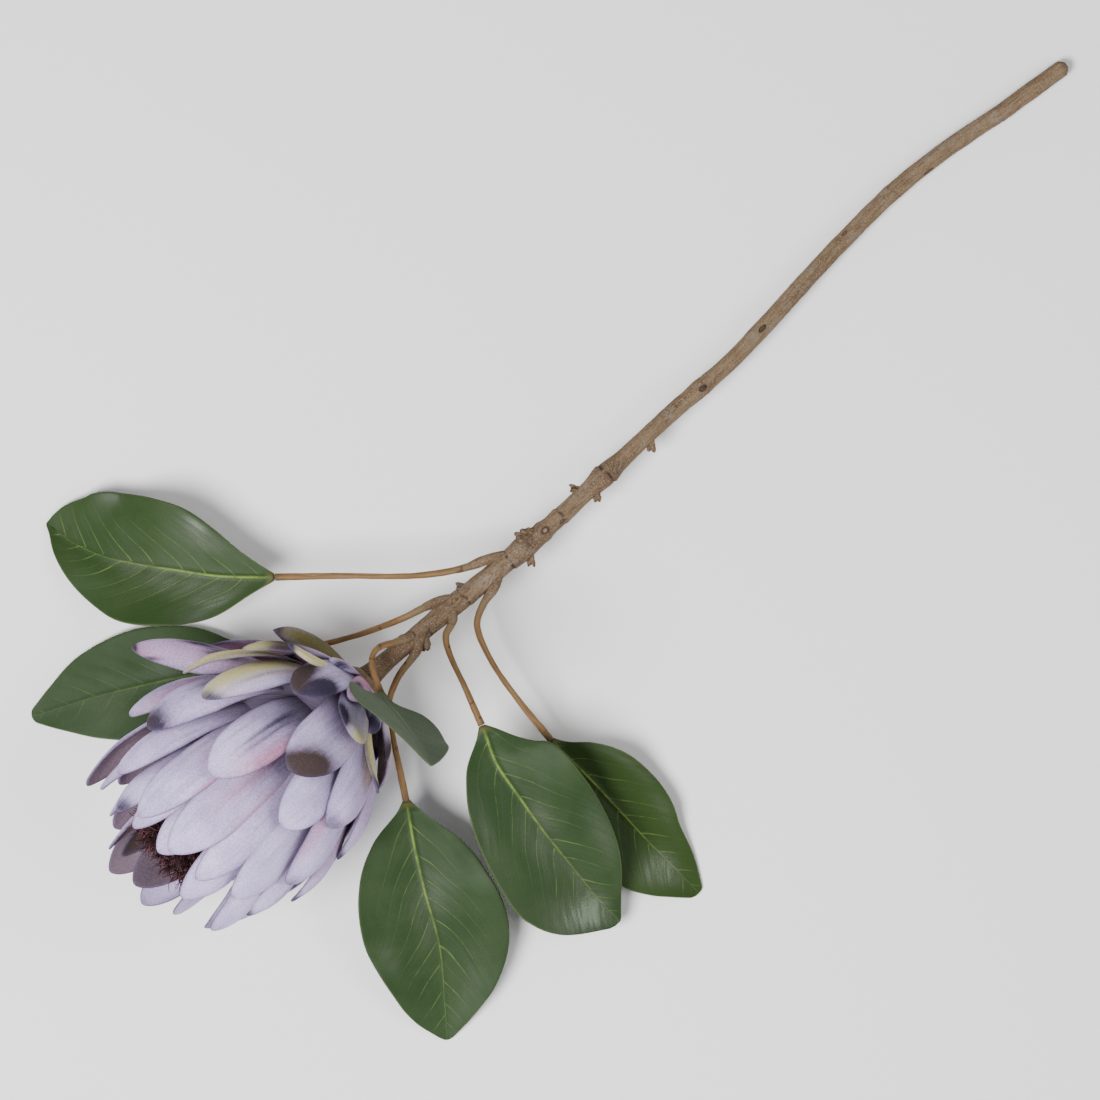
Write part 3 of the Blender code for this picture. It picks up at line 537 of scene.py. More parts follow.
def addBract(heap, ring, angle, draw, marks, lot):
    shape = {**ring, **ring["own"].get(angle, {})}
    root, bend = shape["root"], shape["bend"]
    tip = ring["tips"].get(angle, ring["tip"])
    tipAlong = tip[0] + draw.uniform(-1.5, 1.5) - ring.get("skew", 0) * cos(radians(angle))
    tipRadius = tip[1] + draw.uniform(-0.8, 0.8)
    turn = angle + draw.uniform(-1.5, 1.5) + shape.get("turn", 0)
    lean = draw.uniform(*bractShape["lean"])
    cup = draw.uniform(*bractShape["cup"])
    width = shape["width"] * draw.uniform(0.95, 1.05)
    middleLine = list(zip(root, bend, (tipAlong, tipRadius)))
    length = dist(root, bend) * 0.6 + dist(bend, (tipAlong, tipRadius)) * 0.75

    def outline(s):
        return bractOutline(s, shape["waist"], shape.get("point", bractShape["point"]))

    def surfaceAt(s, t):
        u = 1 - s
        along, radius = (u * u * a + 2 * u * s * b + s * s * c for a, b, c in middleLine)
        goesAlong, goesOut = (u * (b - a) + s * (c - b) for a, b, c in middleLine)
        share = outline(s)
        grown = min(1.0, 1.5 * s)
        turned = radians(shape.get("twist", 0)) * grown
        off = t * 0.5 * width * share
        lift = off * sin(turned) / hypot(goesAlong, goesOut)
        wobble = rough(off / 9, s * length / 16, lot * 7.3)
        wobble += 0.35 * rough(off / 4, s * length / 7, lot * 3.1)
        bowed = (lean * t * share - cup * (t * share) ** 2) * grown
        tucked = bractShape["tuck"] * eased(s, 0.78, 1.12) * 2
        swung = off * cos(turned) + shape.get("swing", 0) * s * s
        place = inBloom(
            along - lift * goesOut,
            radius + lift * goesAlong + bowed + bractShape["unevenness"] * wobble - tucked,
            turn + degrees(swung / max(radius, 12.0)),
        )
        return settled(place, shape.get("resting", False))

    def thicknessAt(s, t):
        toSide = 0.5 * width * outline(s) * (1 - abs(t))
        edge = min(toSide, (1 - s) * length) / bractShape["rim"]
        return 0.5 * bractShape["thickness"] * rounded(min(edge, 1.0)) * mm

    def notesAt(s, t, face):
        share = outline(s)
        half = 0.5 * width * share
        dyes = [0.0] * len(dyeOrder)
        for dye, atS, atT, spreadS, spreadT, strength in marks:
            fall = ((s - atS) / spreadS) ** 2 + ((t * share - atT) / spreadT) ** 2
            dyes[dyeOrder.index(dye)] += strength * exp(-fall)
        olive = dyes.pop()
        # Nearness to the rim, where the finish paints a dark line: painted contact shadow under the
        # bract's edge
        rim = exp(-min(half * (1 - abs(t)), (1 - s) * length))
        fibre = (t * half + 80 * lot, s * length, 13.7 * lot)
        # Inner faces take a darker mauve-brown: partly their own colour, partly painted shade inside the
        # bloom
        inside = shape.get("innerTone", 1) if face < 0 else 0
        return fibre, dyes, (inside, rim, 1 - eased(s, 0.3, 0.98), olive)

    rows = [1 - (1 - i / bractShape["rows"]) ** 1.7 for i in range(bractShape["rows"] + 1)]
    columns = bractShape["columns"]
    across = [sin(pi / 2 * (2 * j / columns - 1)) for j in range(columns + 1)]
    addShell(heap, surfaceAt, thicknessAt, rows, across, notesAt)


def addTurned(heap, profile, sides):  # a closed turned body on the bloom's axis
    start = len(heap["verts"])
    for along, radius in profile:
        for k in range(sides):
            angle = 360 * k / sides
            addPoint(heap, inBloom(along, radius, angle), (radius * radians(angle), along, 0.0))
    for along, _ in (profile[-1], profile[0]):
        addPoint(heap, inBloom(along, 0, 0), (0.0, along, 0.0))
    closeLoops(heap, start, len(profile), sides)


def makeTurned(name, profile, steps, sides, finish, kind):
    first, last = profile[0][0], profile[-1][0]
    places = [first + (last - first) * i / steps for i in range(steps + 1)]
    heap = newHeap()
    addTurned(heap, [(along, between(profile, along)) for along in places], sides)
    makePiece(name, heap, finish, kind, kind + "s")


bractLook = {
    "lilac": (0.49, 0.405, 0.69),
    "paleLilac": (0.64, 0.545, 0.85),
    "blush": (0.48, 0.23, 0.37),
    "indigo": (0.036, 0.028, 0.06),
    "brown": (0.048, 0.03, 0.03),
    "cream": (0.56, 0.5, 0.255),
    "olive": (0.12, 0.104, 0.04),
    # inside and paleInside: the inner faces' own colour, darkened with painted shade
    "inside": (0.15, 0.1, 0.13),
    "paleInside": (0.26, 0.185, 0.24),
    "greyLilac": (0.3, 0.262, 0.415),
    "shade": (0.25, 0.205, 0.32),
    # rim: painted shade, the dark contact shadow along each bract's edge
    "rim": (0.085, 0.065, 0.115),
    # core and paleCore: the bracts' shaded-root colour, painted shade in the gaps between bracts
    "core": (0.12, 0.09, 0.15),
    "paleCore": (0.24, 0.195, 0.31),
}


def bractFinish():
    look = bractLook
    finish, shader = newFinish("bractFinish", 0.85, 0.25)
    fibre = attribute(shader, "fibre")["Vector"]
    dyes = attribute(shader, "dyes")
    zones = attribute(shader, "zones")
    blush, indigo, brown = splitUp(dyes["Color"])
    inside, rim, shade = splitUp(zones["Color"])
    streaks = cloud(stretched(fibre, (0.85, 0.035, 1)), 1, 4, 0.65)
    brushes = cloud(stretched(fibre, (0.28, 0.022, 1)), 1, 3, 0.6)
    grain = cloud(fibre, 1.15, 2, 0.8)
    brushed = ramp(streaks, 0.3, 0.65, 0.84, 1.1)
    ragged = ramp(cloud(fibre, 0.35, 4, 0.65), 0.3, 0.68, 0.93, 1.05)
    fading = sums("MULTIPLY_ADD", shade, 0.7, 0.4)  # streaks fade towards the tip
    colour = mix(ramp(cloud(fibre, 0.055, 2), 0.32, 0.68), look["lilac"], look["paleLilac"])
    colour = layered(colour, (
        (times(ramp(brushes, 0.48, 0.7, 0, 0.72), fading, clamp=True), look["greyLilac"]),
        (times(ramp(brushes, 0.46, 0.28, 0, 0.55), fading, clamp=True), look["blush"]),
        (times(ramp(streaks, 0.56, 0.7, 0, 0.55), shade), look["shade"]),
        (times(times(shade, shade), 0.6), look["shade"]),
        # inner faces: their own darker colour, partly painted shade
        (inside, mix(streaks, look["inside"], look["paleInside"])),
        (times(dyes["Alpha"], 1, clamp=True), look["cream"]),
        (times(zones["Alpha"], 1, clamp=True), look["olive"]),
        (times(blush, brushed, clamp=True), look["blush"]),
        (ramp(times(times(indigo, brushed), ragged), 0, 1.05), look["indigo"]),
        (ramp(times(brown, ragged), 0, 1.05), look["brown"]),
        # painted shade: a dark line along the rim stands for the contact shadow where bracts overlap
        (times(rim, 0.88), look["rim"]),
    ))
    colour = mix(1, colour, ramp(grain, 0.28, 0.72, 0.76, 1.14), "MULTIPLY")
    paint(shader, colour, (grain, 0.3, 0.12), (streaks, 0.3, 0.3))
    return finish


# The core shows between the bracts; its dark mauve is painted shade, taken from the bracts' shaded roots
def coreFinish():
    finish, shader = newFinish("bloomCoreFinish", 0.9)
    fibre = attribute(shader, "fibre")["Vector"]
    streaks = cloud(stretched(fibre, (0.5, 0.05, 1)), 1, 4)
    paint(shader, mix(streaks, bractLook["core"], bractLook["paleCore"]), (streaks, 0.6, 0.8))
    return finish


def makeBracts():
    finish = bractFinish()
    for rings, marks, seed, kind, names in (
        (basalRings, basalMarks, 11, "basal_bract", ("basalBractsLower", "basalBractsUpper")),
        (petalRings, petalMarks, 7, "petal_bract", ["petalBracts" + letter for letter in "ABCD"]),
    ):
        draw = random.Random(seed)
        own = random.Random(seed + 100)
        for number, ring in enumerate(rings):
            heap = newHeap()
            for angle in ring["angles"]:
                lot = own.uniform(0.0, 50.0)
                spots = marks.get((number, angle)) or strayMarks(own, rings is basalRings)
                addBract(heap, ring, angle, draw, spots, lot)
            makePiece(names[number], heap, finish, kind, kind + "s")
    makeTurned("bloomCore", bloom["core"], 30, 72, coreFinish(), "petal_bract")
    makeTurned("bloomCup", bloom["cup"], 12, 48, barkFinish("bloomCupFinish"), "basal_bract")
    print("bracts made")


# Florets: a dome of fine bristles in the mouth of the bloom

floretShape = {
    "base": 100.3,
    "radius": 31.5,
    "height": 44.0,
    "barrel": 0.45,
    "length": (6.0, 9.5),
    "bristles": 3000,
    "turn": 137.508,  # the golden angle, in degrees
    "thickness": 0.42,
    "segments": 9,
    "bend": 1.6,
    "spread": 0.7,
    "dark": ((0.008, 0.002, 0.003), (0.022, 0.008, 0.01)),
    "light": ((0.034, 0.009, 0.012), (0.16, 0.058, 0.064)),
}


def onDome(rise):  # along the bloom and from its axis
    shape = floretShape
    return shape["base"] + shape["height"] * sin(rise), shape["radius"] * cos(rise) ** shape["barrel"]


def scattered(draw, reach):
    return Vector([draw.uniform(-1, 1) for _ in range(3)]) * reach


def makeFlorets():
    shape = floretShape
    draw = random.Random(3)
    bed = newHeap()
    addTurned(bed, [onDome(pi / 2 * i / 24.3) for i in range(25)], 64)
    makePiece("floretBed", bed, floretFinish("floretBedFinish"), "floret_bristle", "florets")
    tufts = newHeap()
    for n in range(shape["bristles"]):
        rise = asin(min(((n + 0.5) / shape["bristles"]) ** 0.8, 1.0))
        angle = n * shape["turn"] + draw.uniform(-4, 4)
        along, out = onDome(rise)
        foot = inBloom(along - 1, max(out - 1, 0.0), angle)
        outward = (inBloom(0, 1, angle) - inBloom(0, 0, angle)).normalized()
        heading = bloomAlong + outward * (0.12 + 0.9 * cos(rise) ** 2)
        heading = (heading + scattered(draw, shape["spread"])).normalized()
        curl = scattered(draw, shape["bend"])
        length = draw.uniform(*shape["length"]) * mm * (1 - 0.35 * cos(rise) ** 2)
        addBristle(tufts, foot, heading, curl, length, draw.random(), draw.uniform(0.8, 1.25))
    makePiece("floretBristles", tufts, floretFinish("floretBristleFinish"), "floret_bristle", "florets")
    print("florets made")


def addBristle(heap, foot, heading, curl, length, lot, stout):
    steps = floretShape["segments"]
    places = []
    side = heading.cross(curl).normalized()
    for i in range(steps + 1):
        u = i / steps
        coil = side * sin(8 * u + 6 * lot) * 0.2 * u
        places.append(foot + (heading * u + curl * 0.35 * u * u + coil) * length)

    def radiusAt(i, angle):
        return floretShape["thickness"] * stout * mm * (1 - 0.62 * (i / steps) ** 2)

    def notesAt(i, angle):
        return (lot * 90, i * 3.0, angle), (lot, i / steps, 0, 0)

    addTube(heap, places, radiusAt, 3, notesAt)


def floretFinish(name):
    finish, shader = newFinish(name, 0.8, 0.15)
    lot, height, _ = splitUp(attribute(shader, "dyes")["Color"])
    dark = mix(lot, *floretShape["dark"])
    light = mix(ramp(lot, 0.4, 1), *floretShape["light"])
    mottle = ramp(cloud(attribute(shader, "fibre")["Vector"], 0.6), 0.3, 0.7, 0.7, 1.2)
    paint(shader, mix(1, mix(ramp(height, 0.5, 1), dark, light), mottle, "MULTIPLY"))
    return finish


# The woody stem with its knots, buds and the sockets of the leaf stalks

stem = {
    "radius": 4.7,
    "end": 346.4,
    "plan": (
        (346.4, 0.6), (305.5, 4.2), (266.2, 9), (231.9, 11), (185.9, 8.5), (140.9, 3.7),
        (99.7, -0.4), (51, -0.5), (4.9, -2), (-39.2, -3), (-83.5, -2), (-124.9, -0.6),
    ),
    "clearance": 0.1,
    "risePower": 2.2,
    "flare": (3, 26),
    "endRounding": (2.2, 4),
    "swellings": ((76, 0.5, 7), (4, 1.5, 9), (-42, 0.8, 3), (-55, 1.5, 9), (-100, 1, 50)),
    "buds": (  # place, angle, length beyond the bark and radius
        (38, 95, 6.5, 2.3), (-9.5, -75, 5.8, 1.8), (-3, 85, 5.2, 2.2), (-44, -40, 4.4, 2.6),
        (-46.5, -55, 5, 2.8), (-49.5, -70, 4.8, 2.6), (-52.5, 90, 7.2, 1.7), (-52, -28, 2.6, 3),
        (-92, -80, 4.6, 1.9), (-127, 80, 7, 2.9), (150, 40, 0.6, 2.4), (228, -70, 0.8, 2.4),
    ),
    "lobes": ((0, 0, 0.78), (0.2, 0.3, 1), (-0.24, -0.2, 0.93)),  # two turns and a length for each
    "rings": (  # growth rings: place, ledge, and how far the swelling runs
        (5, 0.5, 7), (-29.5, 0.4, 5), (-66.5, 0.45, 6), (-99, 0.35, 7), (77, 0.15, 4),
        (152, 0.15, 6), (228, 0.2, 7), (300, 0.12, 6),
    ),
    "scars": (  # place, angle, half length, half width and darkness of the middle
        (-41.6, 4, 2.1, 1.5, -0.9), (76, 12, 2, 1.3, 1), (-31, 35, 1.3, 0.9, 0.4),
        (122.7, 0, 2.2, 1.1, 0.9),
        (250, 55, 2.6, 0.7, 0.6), (192, -30, 1.4, 0.7, 0.4),
    ),
    "patches": (  # the same, for ragged patches: negative tones are pale
        (-83, 15, 8, 4, -0.45), (-126, 50, 7, 4.5, 0.55), (-60, -5, 5, 4, -0.25),
        (-104, -20, 9, 3, 0.35), (12, 20, 5, 3.5, 0.3), (-12, -30, 8, 3, -0.2),
        (-66, 60, 4, 3, 0.45), (-53, 0, 3, 3, 0.35), (-92, 70, 6, 2.5, 0.6),
        (55, -20, 20, 3, 0.25), (170, 30, 26, 3, 0.25), (280, -20, 22, 3.5, -0.2),
    ),
    "budProfile": ((0.1, 1.1), (0.55, 1), (0.8, 0.85), (0.93, 0.6), (1, 0.25)),
    "rows": 780,
    "sides": 64,
}
barkLook = {
    "bark": ((0.108, 0.07, 0.04), (0.196, 0.136, 0.08)),
    "rust": (0.172, 0.094, 0.044),
    "grey": (0.19, 0.155, 0.122),
    "umber": (0.075, 0.04, 0.024),
    "knot": (0.066, 0.034, 0.022),
    "darkFleck": (0.04, 0.022, 0.015),
    "paleFleck": (0.235, 0.175, 0.115),
    "paleSpeck": (0.33, 0.275, 0.21),
    "darkSpeck": (0.055, 0.032, 0.02),
    "paleScar": (0.28, 0.232, 0.192),
    "crack": (0.02, 0.013, 0.011),
}


def stemX(place):  # millimetres from the knot
    return (place.x + middle.x) / mm


def stemHeight(x):
    lowest = stem["radius"] + stem["clearance"]
    share = (stem["end"] - x) / (stem["end"] - bloom["base"].x / mm)
    return lowest + (bloom["base"].z / mm - lowest) * share ** stem["risePower"]


def stemRadius(place):
    x = stemX(place)
    radius = stem["radius"]
    for centre, extra, spread in stem["swellings"]:
        radius += extra * bell((x - centre) / spread)
    nearBloom = max(0.0, 1 - abs(x - bloom["base"].x / mm) / stem["flare"][1])
    nearEnd = max(0.0, 1 - (stem["end"] - x) / stem["endRounding"][1])
    return (radius + stem["flare"][0] * nearBloom ** 2 - stem["endRounding"][0] * nearEnd ** 2) * mm


def barkDepth(around, along):  # millimetres, from ridges, lumps and pits
    depth = 0.22 * rough(around / 2.2, along / 19, 3.1) + 0.26 * rough(around / 5, along / 8, 8.4)
    return depth + 0.12 * rough(around, along / 1.6, 1.7)


def ringEffects(x, angle):  # swelling and crack, in millimetres and from 0 to 1
    grown = 0.0
    crack = 0.0
    for n, (at, ledge, reach) in enumerate(stem["rings"]):
        off = x - at - 0.8 * sin(angle + 2 * n) - 0.9 * roughRound(2, angle, n)
        if abs(off) > 4 * reach:
            continue
        groove = bell(off / 0.75)
        aside = 0.8 * sin(angle) * (1 if off > 0 else -1)
        grown += ledge * ((1 + aside) * exp(-abs(off) / reach) - 0.8 * groove)
        crack += groove * min(2.2 * ledge, 1.0) * eased(roughRound(3, angle, n + 7.7), -0.3, 0.15)
    return grown, crack


def fromMark(mark, x, angle, radius):  # 1 at the mark's rim, and millimetres round the stem
    at, turn, long, wide, _ = mark
    around = radius * ((angle - radians(turn) + pi) % (2 * pi) - pi)
    return hypot((x - at) / long, around / wide), around


def scarTone(x, angle, radius):  # 1 is dark and -1 is pale
    tone = 0.0
    for scar in stem["scars"]:
        away, around = fromMark(scar, x, angle, radius)
        if away < 2:
            tone += bell((away - 1) / 0.32) + scar[4] * bell(away / 0.6)
    for patch in stem["patches"]:
        away, around = fromMark(patch, x, angle, radius)
        if away < 2:
            ragged = eased(rough(x / 1.6, around / 1.3, patch[0]), -0.25, 0.3)
            tone += 1.6 * patch[4] * bell(away) * ragged
    return tone


def makeStem():
    points = [fromKnot(x, y, stemHeight(x)) for x, y in stem["plan"]]
    points += [inBloom(-22, 0, 0), inBloom(-4, 0, 0)]
    places = smoothCurve(points, stem["rows"])
    radii = [stemRadius(p) for p in places]
    rowLength = (places[1] - places[0]).length / mm
    heap = newHeap()

    def radiusAt(i, angle):
        depth = barkDepth(8 * cos(angle) + 9 * sin(angle), i * rowLength)
        depth += ringEffects(stemX(places[i]), angle)[0]
        end = eased(i * rowLength, 0, 3.5)
        return radii[i] * (0.72 + 0.28 * sqrt(end)) + depth * end * mm

    def notesAt(i, angle):
        x = stemX(places[i])
        knot = bell((x - 4) / 12) + bell((x + 52) / 14) + eased(-x, 85, 160)
        scar = scarTone(x, angle, radii[i] / mm)
        dark = min(ringEffects(x, angle)[1] + max(scar, 0.0), 1.0)
        fibre = (8 * cos(angle), i * rowLength, 8 * sin(angle))
        return fibre, (0, 0, 0, 0), (min(knot, 1.0), 0, dark, max(-scar, 0.0))

    addTube(heap, places, radiusAt, stem["sides"], notesAt)
    for n, (x, angle, length, radius) in enumerate(stem["buds"]):
        foot = min(places, key=lambda p: abs(stemX(p) - x))
        outward = Vector((0, -sin(radians(angle)), cos(radians(angle))))
        heading = (outward * 0.8 + Vector((-0.6, 0, 0))).normalized()
        sideways = heading.cross(outward).normalized()
        for k, (turn, lift, size) in enumerate(stem["lobes"]):
            lobe = (heading + sideways * turn + sideways.cross(heading) * lift * 0.5).normalized()
            addBud(heap, foot, lobe, stemRadius(foot) + length * size * mm, radius * 0.72, 3 * n + k)
    for number in stalkRoutes:
        addSocket(heap, number)
    makePiece("stemBark", heap, barkFinish("barkFinish"), "stem_bark", "stem")
    print("stem made")


def addBud(heap, foot, heading, reach, radius, n, steps=26, start=0.1):
    shares = [start + (1 - start) * i / steps for i in range(steps + 1)]
    places = [foot + heading * reach * share for share in shares]

    def radiusAt(i, angle):
        scales = 0.16 * sin(3 * angle + 9 * shares[i] + n)
        size = between(stem["budProfile"], shares[i]) * (1 + scales * eased(shares[i], 0.5, 0.7))
        return radius * mm * size * (1 + 0.28 * roughRound(3, angle, shares[i] * 9 + n))

    def notesAt(i, angle):
        share = i / steps
        fibre = (radius * cos(angle) + 40 * n, share * 9, radius * sin(angle))
        return fibre, (0, 0, 0, 0), (0.6, 0, 0.5 * eased(share, 0.85, 1), 0)

    addTube(heap, places, radiusAt, 24, notesAt)


def barkFinish(name):
    look = barkLook
    finish, shader = newFinish(name, 0.85, 0.2)
    fibre = attribute(shader, "fibre")["Vector"]
    zones = attribute(shader, "zones")
    knot, _, dark = splitUp(zones["Color"])
    length = cloud(stretched(fibre, (0.45, 0.08, 0.45)), 1, 5, 0.6)
    patch = cloud(fibre, 0.11, 4, 0.6)
    blotch = cloud(fibre, 0.42, 3, 0.6)
    fleck = cloud(fibre, 1.35, 3, 0.65)
    speck = cloud(fibre, 1.15, 1, 0.5)
    colour = layered(mix(ramp(length, 0.3, 0.7), *look["bark"]), (
        (ramp(blotch, 0.5, 0.68, 0, 0.6), look["rust"]),
        (ramp(patch, 0.5, 0.7, 0, 0.7), look["grey"]),
        (ramp(patch, 0.46, 0.28, 0, 0.5), look["umber"]),
        (times(knot, ramp(fleck, 0.38, 0.6, 0.1, 0.7)), look["knot"]),
        (ramp(fleck, 0.58, 0.68, 0, 0.75), look["darkFleck"]),
        (ramp(fleck, 0.4, 0.31, 0, 0.55), look["paleFleck"]),
        (ramp(speck, 0.6, 0.72, 0, 0.55), look["paleSpeck"]),
        (ramp(speck, 0.4, 0.28, 0, 0.5), look["darkSpeck"]),
        (times(zones["Alpha"], ramp(fleck, 0.35, 0.6, 0.3, 1)), look["paleScar"]),
        (dark, look["crack"]),
    ))
    paint(shader, colour, (length, 0.5, 0.5), (fleck, 0.7, 0.25))
    return finish


# Leaf stalks, in millimetres from the knot

stalkShape = {
    "radius": 1.8,
    "rows": 18,
    "fine": 8,
    "sides": 22,
    "socketRows": 3,
    "swelling": (1.4, 1.6, 1.6, 1.25),
}
stalkLook = {
    "stalk": ((0.126, 0.064, 0.023), (0.225, 0.132, 0.052)),
    "root": ((0.09, 0.058, 0.029), (0.195, 0.142, 0.074)),
    "leafEnd": (0.105, 0.066, 0.03),
    "band": (0.05, 0.025, 0.01),
    "darkFleck": (0.06, 0.028, 0.013),
    "paleFleck": (0.36, 0.26, 0.14),
}
stalkRoutes = {
    1: (
        (-66, 1, 33), (-75, 5.5, 35), (-89, 11, 36.5), (-110.5, 24.6, 37.5), (-142, 52, 35.5),
        (-169.6, 75.3, 31),
    ),
    2: ((-102, 1, 39), (-111, 6, 37), (-135, 13, 30), (-158, 22, 21), (-178, 32, 13), (-203, 46, 8)),
    3: (
        (-128, -1, 43), (-139, -7, 46), (-155, -11, 50), (-168, -18.5, 51), (-178, -33, 48),
        (-189, -52, 40), (-196.3, -64.6, 33),
    ),
    4: (
        (-106, 0, 39.5), (-112.5, -7.5, 43), (-120, -11, 44.5), (-124.6, -18.8, 45), (-131, -40, 44),
        (-137.6, -60.8, 42),
    ),
    5: (
        (-74, -4, 34.5), (-83, -8.5, 36.5), (-93, -11.5, 37.5), (-103, -17.5, 37), (-110, -35.8, 34),
        (-113.5, -63.7, 29), (-114.5, -92, 24),
    ),
    6: (
        (-134, 1, 46), (-144, 5, 52), (-151.5, 8.4, 58), (-158, 6.6, 64), (-163, -1, 70),
        (-166.5, -10, 76),
    ),
}


def stalkLine(number, fine=1):
    return smoothCurve([fromKnot(*p) for p in stalkRoutes[number]], stalkShape["rows"] * fine)


def stalkRadius(number, i, angle, size, unevenness):
    grain = roughRound(2, angle, i * 0.12 + 11 * number)
    return stalkShape["radius"] * mm * (size + unevenness * grain)


def stalkFibre(number, i, angle):
    return (3 * cos(angle) + 20 * number, i * 0.9, 3 * sin(angle))


def addSocket(heap, number):  # the swollen foot of a leaf stalk
    fine = stalkShape["fine"]
    line = stalkLine(number, fine)
    count = stalkShape["socketRows"] * fine + 1
    profile = list(enumerate(stalkShape["swelling"]))

    def radiusAt(i, angle):
        return stalkRadius(number, i, angle, between(profile, i / fine), 0.144)

    def notesAt(i, angle):
        return stalkFibre(number, i, angle), (0, 0, 0, 0), (0.5, 0, 0, 0)

    addTube(heap, line[:count], radiusAt, stalkShape["sides"], notesAt, headingsOf(line)[:count])


def stalkFinish():
    look = stalkLook
    finish, shader = newFinish("stalkFinish", 0.6, 0.25)
    fibre = attribute(shader, "fibre")["Vector"]
    root, leafEnd, _ = splitUp(attribute(shader, "zones")["Color"])
    length = cloud(stretched(fibre, (0.7, 0.05, 0.7)), 1, 4, 0.6)
    fleck = cloud(fibre, 0.9, 3, 0.65)
    bands = cloud(stretched(fibre, (0.06, 0.12, 0.06)), 1, 2, 0.5)
    colour = layered(mix(ramp(length, 0.3, 0.7), *look["stalk"]), (
        (root, mix(fleck, *look["root"])),
        (leafEnd, look["leafEnd"]),
        (ramp(bands, 0.62, 0.68, 0, 0.75), look["band"]),
        (ramp(fleck, 0.6, 0.72, 0, 0.5), look["darkFleck"]),
        (ramp(fleck, 0.36, 0.27, 0, 0.6), look["paleFleck"]),
    ))
    paint(shader, colour, (length, 0.5, 0.3), (fleck, 0.4, 0.15))
    return finish


def makeStalk(number, finish):
    fine = stalkShape["fine"]
    line = stalkLine(number, fine)
    first = stalkShape["socketRows"] * fine - 3
    count = stalkShape["rows"] * fine - first
    extra = stalkShape["swelling"][-1] - 1.12
    heap = newHeap()

    def radiusAt(i, angle):
        share = i / count
        size = 1 + 0.12 * cos(2 * pi * share) + extra * (1 - eased(share, 0, 0.12))
        return stalkRadius(number, i, angle, size, 0.09)

    def notesAt(i, angle):
        share = i / count
        zones = (1 - eased(share, 0, 0.22), eased(share, 0.93, 1), 0, 0)
        return stalkFibre(number, i + first, angle), (0, 0, 0, 0), zones

    addTube(heap, line[first:], radiusAt, stalkShape["sides"], notesAt, headingsOf(line)[first:])
    makePiece(f"leafStalk{number}", heap, finish, "leaf_stalk", f"petiole_{number}")
